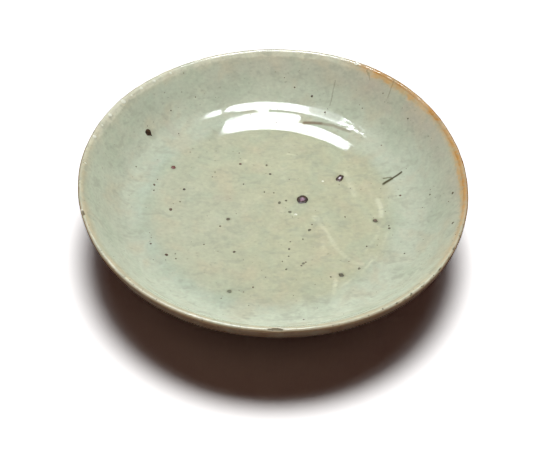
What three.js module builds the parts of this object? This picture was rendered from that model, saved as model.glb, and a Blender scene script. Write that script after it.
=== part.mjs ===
// A shallow, high-fired bowl: a thrown clay body on a turned foot ring, under a coat of glaze.
// Millimetres, +Z up. The origin lies in the plane of the foot's bare face, under the rim's centre.
import * as THREE from "three";

// Well: the floor, its rising edge and the thrown ring round it
const wellRadius = 48.4;
const wellEdgeWidth = 10.4;
const wellEdgeRise = 1.4;
const shelfWidth = 5.6;
const shelfRise = 0.4;

// Wall and lip
const wallReach = 21;
const wallRise = 17.4;
const wallStartSlope = 8; // degrees from level, at the inner face's foot
const wallBaseThickness = 4.9;
const crestRound = 1.15; // radius of the lip's crest
const innerLipSlope = 57; // degrees from level, where the inner face runs into the lip
const outerLipSlope = 76; // likewise outside

// Base and foot ring
const baseThickness = 6.8;
const footHeight = 7;
const footRadius = 33.5; // outside, where the foot leaves the base
const footWidth = 6; // across the ring, at its top
const footOuterTaper = 1.5;
const footInnerTaper = 0.8;
const footEdgeWear = 0.5;
const bareBand = 1.6; // height of unglazed clay above the face that the bowl stands on

// Glaze coats and the clearances that keep neighbouring solids apart
const coatThickness = 0.45;
const bondGap = 0.05; // between a coat and the clay under it
const coatGap = 0.2; // between two coats that meet end to end

// Warp from throwing and firing, zero at the well and full at the rim
const wellOffset = 1.5; // the well and foot sit this far towards -X of the rim's centre
const rimWave2 = { rise: 0.92, azimuth: 60 };
const rimWave3 = { rise: 0.85, azimuth: 42 };
const rimOval = { reach: 0.38, azimuth: -34 };

// Fineness of the turned solids
const turnSteps = 60;
const wallSteps = 7;
const lipSteps = 6;
const edgeSteps = 3;

// Grains of iron: how high they stand, and their fineness
const grainHeight = 0.35;
const grainSteps = 14;
const grainRings = 4;

// Heights and radii that follow from the sizes above
const floorHeight = footHeight + baseThickness;
const shelfHeight = floorHeight + wellEdgeRise + shelfRise;
const shelfRadius = wellRadius + shelfWidth;
const rimRadius = shelfRadius + wallReach;
const rimHeight = shelfHeight + wallRise;
const coatDepth = coatThickness + bondGap;

// Largest grains of iron melted into the inner glaze: place from the well's centre, and size.
// Those near the well's edge and on the wall keep their distance from the thrown ring.
const grains = [
  { name: "centre", radius: 14.4, azimuth: 24, length: 4.4, width: 3.3, turn: 10 },
  { name: "back_right", radius: wellRadius - 14.9, azimuth: 33, length: 2.7, width: 2.2, turn: 60 },
  { name: "right", radius: wellRadius - 6.2, azimuth: -6, length: 2.3, width: 1.7, turn: -25 },
  { name: "front_right", radius: wellRadius - 5.2, azimuth: -49, length: 2.3, width: 1.8, turn: -30 },
  { name: "front", radius: wellRadius - 4.1, azimuth: -108, length: 1.9, width: 1.5, turn: 0 },
  { name: "left", radius: wellRadius - 3.9, azimuth: 152, length: 2.1, width: 1.9, turn: 0 },
  { name: "middle", radius: 16.7, azimuth: -160, length: 1.7, width: 1.4, turn: 40 },
  { name: "wall", radius: shelfRadius + 7.2, azimuth: 147, length: 3.4, width: 1.8, turn: -40 },
];

const quarterTurn = 90; // degrees
const radians = THREE.MathUtils.degToRad;
const point = (radius, height) => new THREE.Vector2(radius, height);
const heading = (degrees) => point(Math.cos(radians(degrees)), Math.sin(radians(degrees)));

// A wall's section: one smooth curve from one point and slope to another. The handle is a share of
// the way between the points. The shorter it is, the tighter the curve turns at its start.
const handleShare = 0.36;
function wallCurve(start, startSlope, end, endSlope) {
  const handle = handleShare * start.distanceTo(end);
  const leave = heading(startSlope).multiplyScalar(handle).add(start);
  const arrive = heading(endSlope).multiplyScalar(-handle).add(end);
  return new THREE.CubicBezierCurve(start, leave, arrive, end).getPoints(wallSteps);
}

// Every line of the section runs so that the space to be filled lies on its left:
// from the foot over the lip to the floor's centre, the clay is on the left.
function shifted(line, distance) {
  return line.map((here, index) => {
    const before = line[Math.max(index - 1, 0)];
    const after = line[Math.min(index + 1, line.length - 1)];
    const arriving = index > 0 ? here.clone().sub(before) : after.clone().sub(here);
    const leaving = index < line.length - 1 ? after.clone().sub(here) : here.clone().sub(before);
    const normalIn = point(-arriving.y, arriving.x).normalize();
    const normalOut = point(-leaving.y, leaving.x).normalize();
    const mitre = normalIn.clone().add(normalOut).normalize();
    return mitre.multiplyScalar(distance / mitre.dot(normalOut)).add(here);
  });
}

// Visible face of the lip: a round over both walls
const lipCentre = point(rimRadius - crestRound, rimHeight - crestRound);
function lipPoint(degrees) {
  return heading(degrees).multiplyScalar(crestRound).add(lipCentre);
}
const lipOuterTurn = outerLipSlope - quarterTurn;
const lipInnerTurn = innerLipSlope + quarterTurn;
const lipGapTurn = THREE.MathUtils.radToDeg(coatGap / (crestRound - coatDepth));

function lipLine(startTurn, endTurn) {
  const line = [];
  for (let step = 0; step <= lipSteps; step += 1) {
    line.push(lipPoint(THREE.MathUtils.lerp(startTurn, endTurn, step / lipSteps)));
  }
  return line;
}

// Visible face outside: from the foot along the underside and up the wall
const footJoin = point(footRadius, footHeight);
const knee = point(shelfRadius, shelfHeight - wallBaseThickness);
const kneeSlope = THREE.MathUtils.radToDeg(Math.atan2(knee.y - footJoin.y, knee.x - footJoin.x));
const outerWall = wallCurve(knee, kneeSlope, lipPoint(lipOuterTurn), outerLipSlope);
const outerLine = [footJoin, ...outerWall];

// Visible face inside: down the wall, over the shelf and the thrown ring, and across the floor
const shelfEdge = point(shelfRadius, shelfHeight);
const innerEnd = lipPoint(lipInnerTurn);
const innerWall = wallCurve(shelfEdge, wallStartSlope, innerEnd, innerLipSlope);
const wellEdge = [];
for (let step = 0; step < edgeSteps; step += 1) {
  const inward = step / edgeSteps;
  const height = floorHeight + wellEdgeRise * (1 - inward) ** 2;
  wellEdge.push(point(wellRadius - wellEdgeWidth * inward, height));
}
const floorEdge = point(wellRadius - wellEdgeWidth, floorHeight);
const floorCentre = point(0, floorHeight);
const innerLine = [...innerWall.reverse(), ...wellEdge, floorEdge, floorCentre];

// Foot ring: its two sides as lines from the face up to the base
const footOuterFace = point(footRadius - footOuterTaper, 0);
const footInnerTop = point(footRadius - footWidth, footHeight);
const footInnerFace = point(footInnerTop.x + footInnerTaper, 0);
const alongFoot = (face, top, height) => face.clone().lerp(top, height / footHeight);

// Warp: waves up and down and an oval round the rim, and the well's shift to one side
function warped(position) {
  const radius = Math.hypot(position.x, position.y);
  const azimuth = Math.atan2(position.y, position.x);
  const share = THREE.MathUtils.smoothstep(radius, wellRadius, rimRadius);
  const rise =
    rimWave2.rise * Math.cos(2 * (azimuth - radians(rimWave2.azimuth))) +
    rimWave3.rise * Math.cos(3 * (azimuth - radians(rimWave3.azimuth)));
  const reach = share * rimOval.reach * Math.cos(2 * (azimuth - radians(rimOval.azimuth)));
  return new THREE.Vector3(
    position.x + reach * Math.cos(azimuth) - wellOffset * (1 - share),
    position.y + reach * Math.sin(azimuth),
    position.z + share * rise,
  );
}

// A solid of revolution about Z, then warped. The outline runs anticlockwise, radius to the right
// and height up. It starts and ends on the axis, or is closed here into a ring.
function turned(outline) {
  const onAxis = outline[0].x === 0;
  const closed = onAxis ? outline : [...outline, outline[0].clone()];
  const geometry = new THREE.LatheGeometry(closed, turnSteps).rotateX(Math.PI / 2);
  const places = geometry.getAttribute("position");
  for (let index = 0; index < places.count; index += 1) {
    const place = warped(new THREE.Vector3().fromBufferAttribute(places, index));
    places.setXYZ(index, place.x, place.y, place.z);
  }
  geometry.computeVertexNormals();
  return geometry;
}

// The outline of a coat that lies between two distances to the left of a line
function coat(line, near, far) {
  return [...shifted(line, far).reverse(), ...shifted(line, near)];
}

// Materials
const finish = (color, roughness) => new THREE.MeshStandardMaterial({ color, roughness, metalness: 0 });
const firedClay = finish(0x8b7a66, 0.85);
const footClay = finish(0xa5805c, 0.9);
const paleGlaze = finish(0xc6caae, 0.2);
const shadedGlaze = finish(0xb6b79c, 0.25);
const rustGlaze = finish(0xb79468, 0.3);
const meltedIron = finish(0x3a2a26, 0.4);

const bowl = new THREE.Group();
function addPiece(name, geometry, material) {
  const mesh = new THREE.Mesh(geometry, material);
  mesh.name = name;
  bowl.add(mesh);
  return mesh;
}

// Clay body: under all the coats, with a flat underside inside the foot ring
const wholeLip = lipLine(lipOuterTurn, lipInnerTurn);
const bodySkin = shifted([...outerLine.slice(0, -1), ...wholeLip, ...innerLine.slice(1)], coatDepth);
const underside = [point(0, footHeight), point(footRadius - coatDepth, footHeight)];
addPiece("clay_body", turned([...underside, ...bodySkin]), firedClay);

// Foot ring: its worn edges flank the flat face
const footFaceOuter = footOuterFace.x - coatDepth;
const ringOutline = [
  point(footInnerFace.x + footEdgeWear, 0),
  point(footFaceOuter - footEdgeWear, 0),
  point(footFaceOuter, footEdgeWear),
  point(footRadius - coatDepth, footHeight - bondGap),
  point(footInnerTop.x, footHeight - bondGap),
  point(footInnerFace.x, footEdgeWear),
];
addPiece("foot_ring", turned(ringOutline), footClay);

// Glaze coats
addPiece("inner_glaze", turned(coat(innerLine, 0, coatThickness)), paleGlaze);
const lipCoatLine = lipLine(lipOuterTurn + lipGapTurn, lipInnerTurn - lipGapTurn);
addPiece("lip_glaze", turned(coat(lipCoatLine, 0, coatThickness)), rustGlaze);
addPiece("outer_glaze", turned(coat(outerLine, 0, coatThickness)), shadedGlaze);

const footCoatLine = [
  alongFoot(footOuterFace, footJoin, bareBand),
  alongFoot(footOuterFace, footJoin, footHeight - coatGap),
];
addPiece("foot_glaze", turned(coat(footCoatLine, 0, coatThickness)), shadedGlaze);

const recessLine = [alongFoot(footInnerFace, footInnerTop, bareBand), footInnerTop, point(0, footHeight)];
addPiece("recess_glaze", turned(coat(recessLine, bondGap, coatDepth)), shadedGlaze);

// Height of the inner face at a radius, read along its own line
function innerHeight(radius) {
  const index = innerLine.findIndex((place) => place.x <= radius);
  const low = innerLine[index];
  const high = innerLine[index - 1];
  return THREE.MathUtils.mapLinear(radius, low.x, high.x, low.y, high.y);
}
function onInnerFace(radius, azimuth) {
  const flat = heading(azimuth).multiplyScalar(radius);
  return warped(new THREE.Vector3(flat.x, flat.y, innerHeight(radius)));
}

// Iron grains: low domes that follow the glaze's slope where they sit. The slope is read
// over a short way outward, in millimetres, and a short way round, in degrees.
const wayOutward = 0.3;
const wayRound = 0.3;
const grainProfile = [point(0, 0)];
for (let ring = 0; ring < grainRings; ring += 1) {
  grainProfile.push(heading((quarterTurn * ring) / grainRings));
}
grainProfile.push(point(0, 1));

for (const grain of grains) {
  const seat = onInnerFace(grain.radius, grain.azimuth);
  const outward = onInnerFace(grain.radius + wayOutward, grain.azimuth).sub(seat);
  const around = onInnerFace(grain.radius, grain.azimuth + wayRound).sub(seat);
  const normal = outward.cross(around).normalize();
  const dome = new THREE.LatheGeometry(grainProfile, grainSteps).rotateX(Math.PI / 2);
  dome.scale(grain.length / 2, grain.width / 2, grainHeight).rotateZ(radians(grain.turn));
  const mesh = addPiece(`iron_grain_${grain.name}`, dome, meltedIron);
  mesh.quaternion.setFromUnitVectors(new THREE.Vector3(0, 0, 1), normal);
  mesh.position.copy(seat).addScaledVector(normal, coatGap);
}

export default bowl;
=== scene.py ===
"""A shallow, high-fired bowl under a pale green glaze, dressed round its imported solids.

The sizes are written in millimetres, as a potter would measure them, and turned into metres where
a mesh is made. +Z is up, +X lies to the right of the picture and +Y away from the viewer.
"""

import logging
import math
from dataclasses import dataclass, field
from enum import Enum
from typing import Any, Iterable, Sequence

import bpy
import numpy as np
from mathutils import Matrix, Vector, noise


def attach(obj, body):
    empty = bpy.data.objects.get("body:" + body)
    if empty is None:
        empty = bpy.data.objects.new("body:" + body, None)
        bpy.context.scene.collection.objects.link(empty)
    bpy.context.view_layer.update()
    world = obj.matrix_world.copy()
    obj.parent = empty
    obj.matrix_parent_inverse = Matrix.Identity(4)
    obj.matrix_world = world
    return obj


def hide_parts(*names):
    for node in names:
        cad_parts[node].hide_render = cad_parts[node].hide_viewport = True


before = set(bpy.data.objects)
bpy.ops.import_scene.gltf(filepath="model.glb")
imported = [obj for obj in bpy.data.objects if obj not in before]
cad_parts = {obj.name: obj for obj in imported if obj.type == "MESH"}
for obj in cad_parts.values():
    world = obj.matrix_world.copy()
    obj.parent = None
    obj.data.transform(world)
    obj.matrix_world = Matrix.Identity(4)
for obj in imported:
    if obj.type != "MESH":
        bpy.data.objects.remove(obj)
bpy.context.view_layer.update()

MM = 0.001
BODY = "root"
log = logging.getLogger("bowl")

Colour = tuple[float, float, float]


def shown(red: int, green: int, blue: int) -> Colour:
    """The linear colour that a screen shows as these values.

    Args:
        red: 0 to 255.
        green: 0 to 255.
        blue: 0 to 255.

    Returns:
        Three linear values from 0 to 1.
    """
    def linear(part: int) -> float:
        """One channel, from its display value to a linear one."""
        value = part / 255
        return value / 12.92 if value <= 0.04045 else ((value + 0.055) / 1.055) ** 2.4

    return linear(red), linear(green), linear(blue)


def smooth(low: float, high: float, value: np.ndarray) -> np.ndarray:
    """A soft step from 0 to 1 as value goes from low to high, which may run downward.

    Args:
        low: where the step is 0.
        high: where it is 1.
        value: the numbers to read.

    Returns:
        One number from 0 to 1 for each value.
    """
    share = np.clip((value - low) / (high - low), 0, 1)
    return share * share * (3 - 2 * share)


def hill(value: np.ndarray, centre: float, width: float) -> np.ndarray:
    """A smooth hill of height 1.

    Args:
        value: the numbers to read.
        centre: where the hill stands.
        width: how far from there it falls to about a third.

    Returns:
        One number from 0 to 1 for each value.
    """
    return np.exp(-(((value - centre) / width) ** 2))


def drift(points: np.ndarray, size: float, seed: float) -> np.ndarray:
    """Smooth random values from about -1 to 1.

    Args:
        points: N x 3 places, in millimetres.
        size: how far apart hills lie, in millimetres.
        seed: picks another pattern.

    Returns:
        One value for each place.
    """
    shift = Vector((seed * 17.3, seed * 5.1, seed * 31.7))
    return np.array([noise.noise(Vector(place) / size + shift) for place in points])


# Points with which the lines of the section are drawn, before rings are spaced along them
CURVE_POINTS = 200
LIP_POINTS = 90
UNDER_POINTS = 60
FLOOR_POINTS = 600
EVEN_POINTS = 1200
RISE_POINTS = 1400

# A quarter turn and a whole one, in degrees
QUARTER = 90.0
WHOLE = 360.0


@dataclass(frozen=True)
class Section:
    """Half section of the glazed bowl: radius against height above the foot's face, in mm."""

    well_radius: float = 48.4
    well_edge_rise: float = 1.4
    shelf_width: float = 5.6
    shelf_rise: float = 0.4
    wall_reach: float = 20.7
    wall_rise: float = 17.4
    wall_start_slope: float = 8.0
    wall_base_thickness: float = 4.9
    crest_outer_round: float = 0.8
    crest_inner_round: float = 1.8
    inner_lip_slope: float = 48.0
    outer_lip_slope: float = 85.0
    shoulder_inset: float = 2.2
    shoulder_depth: float = 7.0
    shoulder_slope: float = 46.0
    base_thickness: float = 6.8
    foot_height: float = 7.0
    foot_radius: float = 33.5
    foot_width: float = 6.0
    foot_outer_taper: float = 1.5
    foot_inner_taper: float = 0.8
    foot_edge_wear: float = 0.5
    bare_band: float = 1.6
    coat: float = 0.45
    bond_gap: float = 0.05
    handle: float = 0.36
    softness: float = 0.4
    edge_radii: tuple[float, ...] = (26, 41, 45.2, 46.3, 48.1, 49.2, 50, 54)
    edge_slopes: tuple[float, ...] = (0, 1.8, 8, 12, 18, 7, 5.5, 7)

    @property
    def floor_height(self) -> float:
        """Height of the glazed floor."""
        return self.foot_height + self.base_thickness

    @property
    def shelf_height(self) -> float:
        """Height at which the wall starts to rise."""
        return self.floor_height + self.well_edge_rise + self.shelf_rise

    @property
    def shelf_radius(self) -> float:
        """Radius at which the wall starts to rise."""
        return self.well_radius + self.shelf_width

    @property
    def rim_radius(self) -> float:
        """Outermost radius, before the warp."""
        return self.shelf_radius + self.wall_reach

    @property
    def rim_height(self) -> float:
        """Height of the lip's crest, before the warp."""
        return self.shelf_height + self.wall_rise

    def _lip_point(self, degrees: float) -> np.ndarray:
        """A point on the lip's crest, by its direction from the centre of the round it lies on."""
        bend = self.crest_outer_round if degrees < QUARTER else self.crest_inner_round
        centre = np.array([self.rim_radius - self.crest_outer_round, self.rim_height - bend])
        return centre + bend * _heading(degrees)

    def lip(self) -> np.ndarray:
        """The lip's crest, from its outer end to its inner end."""
        turns = np.linspace(self.outer_lip_slope - QUARTER, self.inner_lip_slope + QUARTER, LIP_POINTS)
        return np.array([self._lip_point(turn) for turn in turns])

    def outer(self) -> np.ndarray:
        """The outside, from the foot along the underside and up to the lip."""
        foot = np.array([self.foot_radius, self.foot_height])
        knee = np.array([self.shelf_radius, self.shelf_height - self.wall_base_thickness])
        slope = math.degrees(math.atan2(knee[1] - foot[1], knee[0] - foot[0]))
        end = self._lip_point(self.outer_lip_slope - QUARTER)
        shoulder = np.array([self.rim_radius - self.shoulder_inset, self.rim_height - self.shoulder_depth])
        under = np.linspace(foot, knee, UNDER_POINTS, endpoint=False)
        wall = _curve(knee, slope, shoulder, self.shoulder_slope, self.handle)
        upright = _curve(shoulder, self.shoulder_slope, end, self.outer_lip_slope, self.handle)
        return np.concatenate([under, wall[:-1], upright])

    def inner(self) -> np.ndarray:
        """The inside, from the lip down the wall and over the thrown ring to the floor's centre."""
        start = np.array([self.shelf_radius, self.shelf_height])
        end = self._lip_point(self.inner_lip_slope + QUARTER)
        wall = _curve(start, self.wall_start_slope, end, self.inner_lip_slope, self.handle)[::-1]
        radius = np.linspace(0, self.shelf_radius, FLOOR_POINTS)
        slope = np.interp(radius, self.edge_radii, self.edge_slopes)
        steps = np.tan(np.radians((slope[1:] + slope[:-1]) / 2)) * np.diff(radius)
        rise = np.concatenate([[0], np.cumsum(steps)])
        rise *= (self.shelf_height - self.floor_height) / rise[-1]
        floor = np.stack([radius, self.floor_height + rise], axis=1)[-2::-1]
        return _softened(np.concatenate([wall, floor]), self.softness)


def _heading(degrees: float) -> np.ndarray:
    """A unit step in a direction given in degrees from level."""
    return np.array([math.cos(math.radians(degrees)), math.sin(math.radians(degrees))])


def _curve(
    start: np.ndarray, start_slope: float, end: np.ndarray, end_slope: float, share: float
) -> np.ndarray:
    """A wall's curve from one point and slope to another.

    Args:
        start: radius and height.
        start_slope: degrees from level.
        end: radius and height at the lip.
        end_slope: degrees from level.
        share: the handles' length as a share of the way between the points.

    Returns:
        Points along the curve, from start to end.
    """
    handle = share * float(np.linalg.norm(end - start))
    leave = start + handle * _heading(start_slope)
    arrive = end - handle * _heading(end_slope)
    t = np.linspace(0, 1, CURVE_POINTS)[:, None]
    return (1 - t) ** 3 * start + 3 * (1 - t) ** 2 * t * leave + 3 * (1 - t) * t**2 * arrive + t**3 * end


def _lengths(line: np.ndarray) -> np.ndarray:
    """Distance along a line at each of its points."""
    steps = np.linalg.norm(np.diff(line, axis=0), axis=1)
    return np.concatenate([[0], np.cumsum(steps)])


def _softened(line: np.ndarray, width: float) -> np.ndarray:
    """A line with its corners worn round.

    Args:
        line: N x 2 points.
        width: how far along the line a point is averaged, in millimetres.

    Returns:
        Points of the worn line, evenly spaced, with the same two ends.
    """
    along = _lengths(line)
    even = np.linspace(0, along[-1], EVEN_POINTS)
    radius = np.interp(even, along, line[:, 0])
    height = np.interp(even, along, line[:, 1])
    gap = even[1]
    reach = int(3 * width / gap)
    kernel = np.exp(-(((np.arange(-reach, reach + 1) * gap) / width) ** 2))
    kernel /= kernel.sum()
    soft = []
    for values in (radius, height):
        padded = np.concatenate(
            [2 * values[0] - values[reach:0:-1], values, 2 * values[-1] - values[-2 : -reach - 2 : -1]]
        )
        soft.append(np.convolve(padded, kernel, mode="valid"))
    return np.stack(soft, axis=1)


@dataclass(frozen=True)
class Warp:
    """How throwing and firing pulled the rim out of true. It is nothing at the well."""

    well_offset: float = 1.5
    rise_two: float = 0.92
    rise_two_azimuth: float = 60.0
    rise_three: float = 0.85
    rise_three_azimuth: float = 42.0
    oval: float = 0.38
    oval_azimuth: float = -34.0

    def applied(self, points: np.ndarray, section: Section) -> np.ndarray:
        """The places after the warp.

        Args:
            points: N x 3 places on the true bowl, in millimetres, round the well's centre.
            section: gives the radii between which the warp grows.

        Returns:
            N x 3 places, round the rim's centre.
        """
        radius = np.hypot(points[:, 0], points[:, 1])
        azimuth = np.arctan2(points[:, 1], points[:, 0])
        share = smooth(section.well_radius, section.rim_radius, radius)
        rise = self.rise_two * np.cos(2 * (azimuth - math.radians(self.rise_two_azimuth)))
        rise += self.rise_three * np.cos(3 * (azimuth - math.radians(self.rise_three_azimuth)))
        reach = share * self.oval * np.cos(2 * (azimuth - math.radians(self.oval_azimuth)))
        moved = points.copy()
        moved[:, 0] += reach * np.cos(azimuth) - self.well_offset * (1 - share)
        moved[:, 1] += reach * np.sin(azimuth)
        moved[:, 2] += share * rise
        return moved


def ring_starts(counts: Sequence[int]) -> list[int]:
    """Index of each ring's first point."""
    return [0, *np.cumsum(counts)[:-1].tolist()]


@dataclass
class Turned:
    """Rings of points turned from a section line, with the shape's relief put on."""

    places: np.ndarray
    counts: list[int]
    radii: np.ndarray
    azimuths: np.ndarray
    masks: dict[str, np.ndarray] = field(default_factory=dict)

    @property
    def starts(self) -> list[int]:
        """Index of each ring's first point."""
        return ring_starts(self.counts)


# Points in the widest rings, and the radii below which a ring gets half as many as the one outside
# it. A ring below the smallest radius is a single point on the axis.
AROUND = 640
HALVING_RADII = (30.0, 15.0, 7.5, 3.8, 1.9)
ON_AXIS = 1e-6


def ring_count(radius: float) -> int:
    """How many points a ring of this radius gets."""
    if radius <= ON_AXIS:
        return 1
    return AROUND >> sum(radius < limit for limit in HALVING_RADII)


def ring_places(
    line: np.ndarray, spacing: float, fine: tuple[float, float] = (0.0, 0.0), closer: float = 1.0
) -> np.ndarray:
    """Points of a section line, spaced evenly but for a band where they lie closer.

    Args:
        line: N x 2 radius and height.
        spacing: about how far apart, in millimetres.
        fine: the radii between which they lie closer.
        closer: how many times closer they lie there.

    Returns:
        M x 2 points with the line's own two ends.
    """
    steps = np.diff(_lengths(line))
    middle = (line[1:, 0] + line[:-1, 0]) / 2
    steps = steps * np.where((middle > fine[0]) & (middle < fine[1]), closer, 1.0)
    along = np.concatenate([[0], np.cumsum(steps)])
    count = max(2, round(along[-1] / spacing) + 1)
    even = np.linspace(0, along[-1], count)
    return np.stack([np.interp(even, along, line[:, axis]) for axis in (0, 1)], axis=1)


def revolve(line: np.ndarray) -> tuple[np.ndarray, list[int], np.ndarray, np.ndarray]:
    """Turns a section line about the axis.

    Args:
        line: N x 2 radius and height, which may end on the axis.

    Returns:
        Places, points in each ring, and each place's radius and azimuth in degrees.
    """
    counts = [ring_count(radius) for radius, _ in line]
    radii = np.repeat(line[:, 0], counts)
    heights = np.repeat(line[:, 1], counts)
    turns = np.concatenate([np.arange(count) * (2 * math.pi / count) for count in counts])
    places = np.stack([radii * np.cos(turns), radii * np.sin(turns), heights], axis=1)
    azimuths = (np.degrees(turns) + WHOLE / 2) % WHOLE - WHOLE / 2
    return places, counts, radii, azimuths


def ring_faces(counts: Sequence[int], first: int = 0, flip: bool = False) -> list[tuple[int, ...]]:
    """Faces that join rings of points, where a ring may have half as many as the last.

    Args:
        counts: points in each ring, each the same as, half or twice the last, or 1.
        first: index of the first ring's first point.
        flip: turns the faces over.

    Returns:
        Faces as tuples of point indices.
    """
    faces: list[tuple[int, ...]] = []
    start = first
    for here, after in zip(counts, counts[1:]):
        other = start + here
        if after == here:
            for i in range(here):
                j = (i + 1) % here
                faces.append((start + i, start + j, other + j, other + i))
        elif after == 1:
            faces.extend((start + i, start + (i + 1) % here, other) for i in range(here))
        elif here == 1:
            faces.extend((start, other + (i + 1) % after, other + i) for i in range(after))
        elif after < here:
            for i in range(after):
                a, b, c = (start + (2 * i + k) % here for k in range(3))
                d, e = other + i, other + (i + 1) % after
                faces.extend([(a, b, d), (b, e, d), (b, c, e)])
        else:
            for i in range(here):
                a, b, c = (other + (2 * i + k) % after for k in range(3))
                d, e = start + i, start + (i + 1) % here
                faces.extend([(b, a, d), (e, b, d), (c, b, e)])
        start = other
    return [face[::-1] for face in faces] if flip else faces


def point_normals(places: np.ndarray, faces: Sequence[tuple[int, ...]]) -> np.ndarray:
    """Smooth normals at the points of a surface.

    Args:
        places: N x 3 places.
        faces: faces as tuples of three or four point indices.

    Returns:
        N x 3 unit normals.
    """
    corners = np.array([face if len(face) == 4 else (*face, face[2]) for face in faces])
    across = places[corners[:, 2]] - places[corners[:, 0]]
    other = places[corners[:, 3]] - places[corners[:, 1]]
    thin = corners[:, 3] == corners[:, 2]
    other[thin] = places[corners[thin, 2]] - places[corners[thin, 1]]
    face_normals = np.cross(across, other)
    normals = np.zeros_like(places)
    for corner in range(4):
        np.add.at(normals, corners[:, corner], face_normals)
    return normals / np.linalg.norm(normals, axis=1, keepdims=True)


def new_piece(
    name: str,
    places: np.ndarray,
    faces: Sequence[tuple[int, ...]],
    masks: dict[str, np.ndarray] | None = None,
) -> bpy.types.Object:
    """Makes a smooth-shaded mesh object that rides on the bowl.

    Args:
        name: the piece's name.
        places: N x 3 places in millimetres.
        faces: faces as tuples of point indices, anticlockwise from outside.
        masks: values from 0 to 1 for each point, by name, that the finishes read.

    Returns:
        The new object.
    """
    mesh = bpy.data.meshes.new(name)
    mesh.from_pydata((places * MM).tolist(), [], [list(face) for face in faces])
    for mask, values in (masks or {}).items():
        layer = mesh.attributes.new(mask, "FLOAT", "POINT")
        layer.data.foreach_set("value", values.astype(np.float32))
    mesh.shade_smooth()
    mesh.validate()
    piece = bpy.data.objects.new(name, mesh)
    bpy.context.scene.collection.objects.link(piece)
    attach(piece, BODY)
    return piece


@dataclass(frozen=True)
class Stroke:
    """A run or smear of glaze across the floor: its path in mm, its width and how strong it is."""

    path: tuple[tuple[float, float], ...]
    width: float
    strength: float = 1.0

    def mask(self, places: np.ndarray) -> np.ndarray:
        """How much of the stroke lies at each place.

        Args:
            places: N x 3 places, in millimetres.

        Returns:
            One number from 0 to 1 for each place.
        """
        flat = places[:, :2]
        nearest = np.full(len(flat), np.inf)
        corners = np.array(self.path)
        if len(corners) == 1:
            nearest = np.linalg.norm(flat - corners[0], axis=1)
        for start, end in zip(corners, corners[1:]):
            run = end - start
            share = np.clip(((flat - start) @ run) / (run @ run), 0, 1)
            nearest = np.minimum(nearest, np.linalg.norm(flat - start - share[:, None] * run, axis=1))
        return self.strength * smooth(self.width, self.width * 0.25, nearest)


def strongest(strokes: Iterable[Stroke], places: np.ndarray) -> np.ndarray:
    """The strongest of several strokes at each place."""
    return np.max([stroke.mask(places) for stroke in strokes], axis=0)


@dataclass(frozen=True)
class Grain:
    """A grain of iron ore melted into the glaze, by its place from the well's centre, in mm."""

    node: str
    radius: float
    azimuth: float
    length: float
    width: float
    turn: float
    purple: float = 0.0
    red: float = 0.0
    veil: float = 0.0
    halo: float = 0.5
    glint: float = 0.0
    tail: float = 0.0
    seed: int = 0


GRAINS = (
    Grain("iron_grain_centre", 14.4, 24, 5.0, 5.1, 10, purple=1.0, halo=0.4, seed=1),
    Grain("iron_grain_back_right", 33.5, 33, 4.4, 3.1, 60, purple=0.6, glint=1.0, halo=0.3, seed=2),
    Grain("iron_grain_right", 42.2, -6, 2.3, 1.7, -30, veil=0.3, seed=3),
    Grain("iron_grain_front_right", 43.2, -49, 2.4, 1.8, -42, veil=0.35, seed=4),
    Grain("iron_grain_front", 44.3, -108, 1.9, 1.5, -30, veil=0.75, halo=0.6, seed=5),
    Grain("iron_grain_left", 44.5, 152, 2.0, 1.8, 0, red=0.8, halo=0.5, seed=6),
    Grain("iron_grain_middle", 16.7, -160, 1.6, 1.4, 40, red=0.2, veil=0.4, halo=0.5, seed=7),
    Grain("iron_grain_wall", 61.6, 145.2, 4.2, 3.7, -24, halo=0.25, tail=0.9, seed=8),
)


@dataclass(frozen=True)
class Nick:
    """A small chip in the lip: its azimuth, its length along the lip and its depth, in mm.

    The lean is where on the crest's round it sits, in degrees from outward, and the spread is how
    far round the crest it reaches.
    """

    azimuth: float
    length: float
    depth: float
    lean: float = 40.0
    spread: float = 34.0


NICKS = (
    Nick(-88.1, 5.6, 0.6, 72, 54),
    Nick(-71, 1.2, 0.2),
    Nick(-61, 0.9, 0.16),
    Nick(-52.8, 1.5, 0.4, 55),
    Nick(-50.2, 1.0, 0.3, 30),
    Nick(-47.6, 1.2, 0.34, 50),
    Nick(-43.0, 1.3, 0.34, 40),
    Nick(-39.6, 0.9, 0.28, 30),
    Nick(-34.7, 1.5, 0.4, 55),
    Nick(-30.0, 0.9, 0.26, 40),
    Nick(-25.6, 1.3, 0.36, 60),
    Nick(-20.1, 1.1, 0.3, 60),
    Nick(-15.9, 0.9, 0.26, 60),
    Nick(-162.9, 2.6, 0.5, 85, 40),
    Nick(-173, 1.2, 0.2, 50),
    Nick(163.5, 1.3, 0.2, 50),
    Nick(141, 0.9, 0.16, 60),
    Nick(116, 1.2, 0.16, 60),
)


@dataclass(frozen=True)
class Edge:
    """Another shape of the floor's edge: slopes in degrees at radii from the well's centre, in mm."""

    radii: tuple[float, ...]
    slopes: tuple[float, ...]


# At the back the glaze filled the corner outside the thrown ring, and to the right of that the
# ring is broader and steeper
FILLED_EDGE = Edge(
    (26, 34, 43.8, 45.3, 47, 52, 54, 55, 56.5, 58.5), (0, -1.2, -1, 13, 14.6, 14, 13.4, 14, 15.5, 19)
)
BROAD_EDGE = Edge(
    (26, 34, 43.8, 45.3, 47, 49.2, 50.2, 51, 54, 56, 58.5), (0, -1.2, -1, 14.5, 17, 18, 8, 3, 5.5, 14, 20)
)

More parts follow.
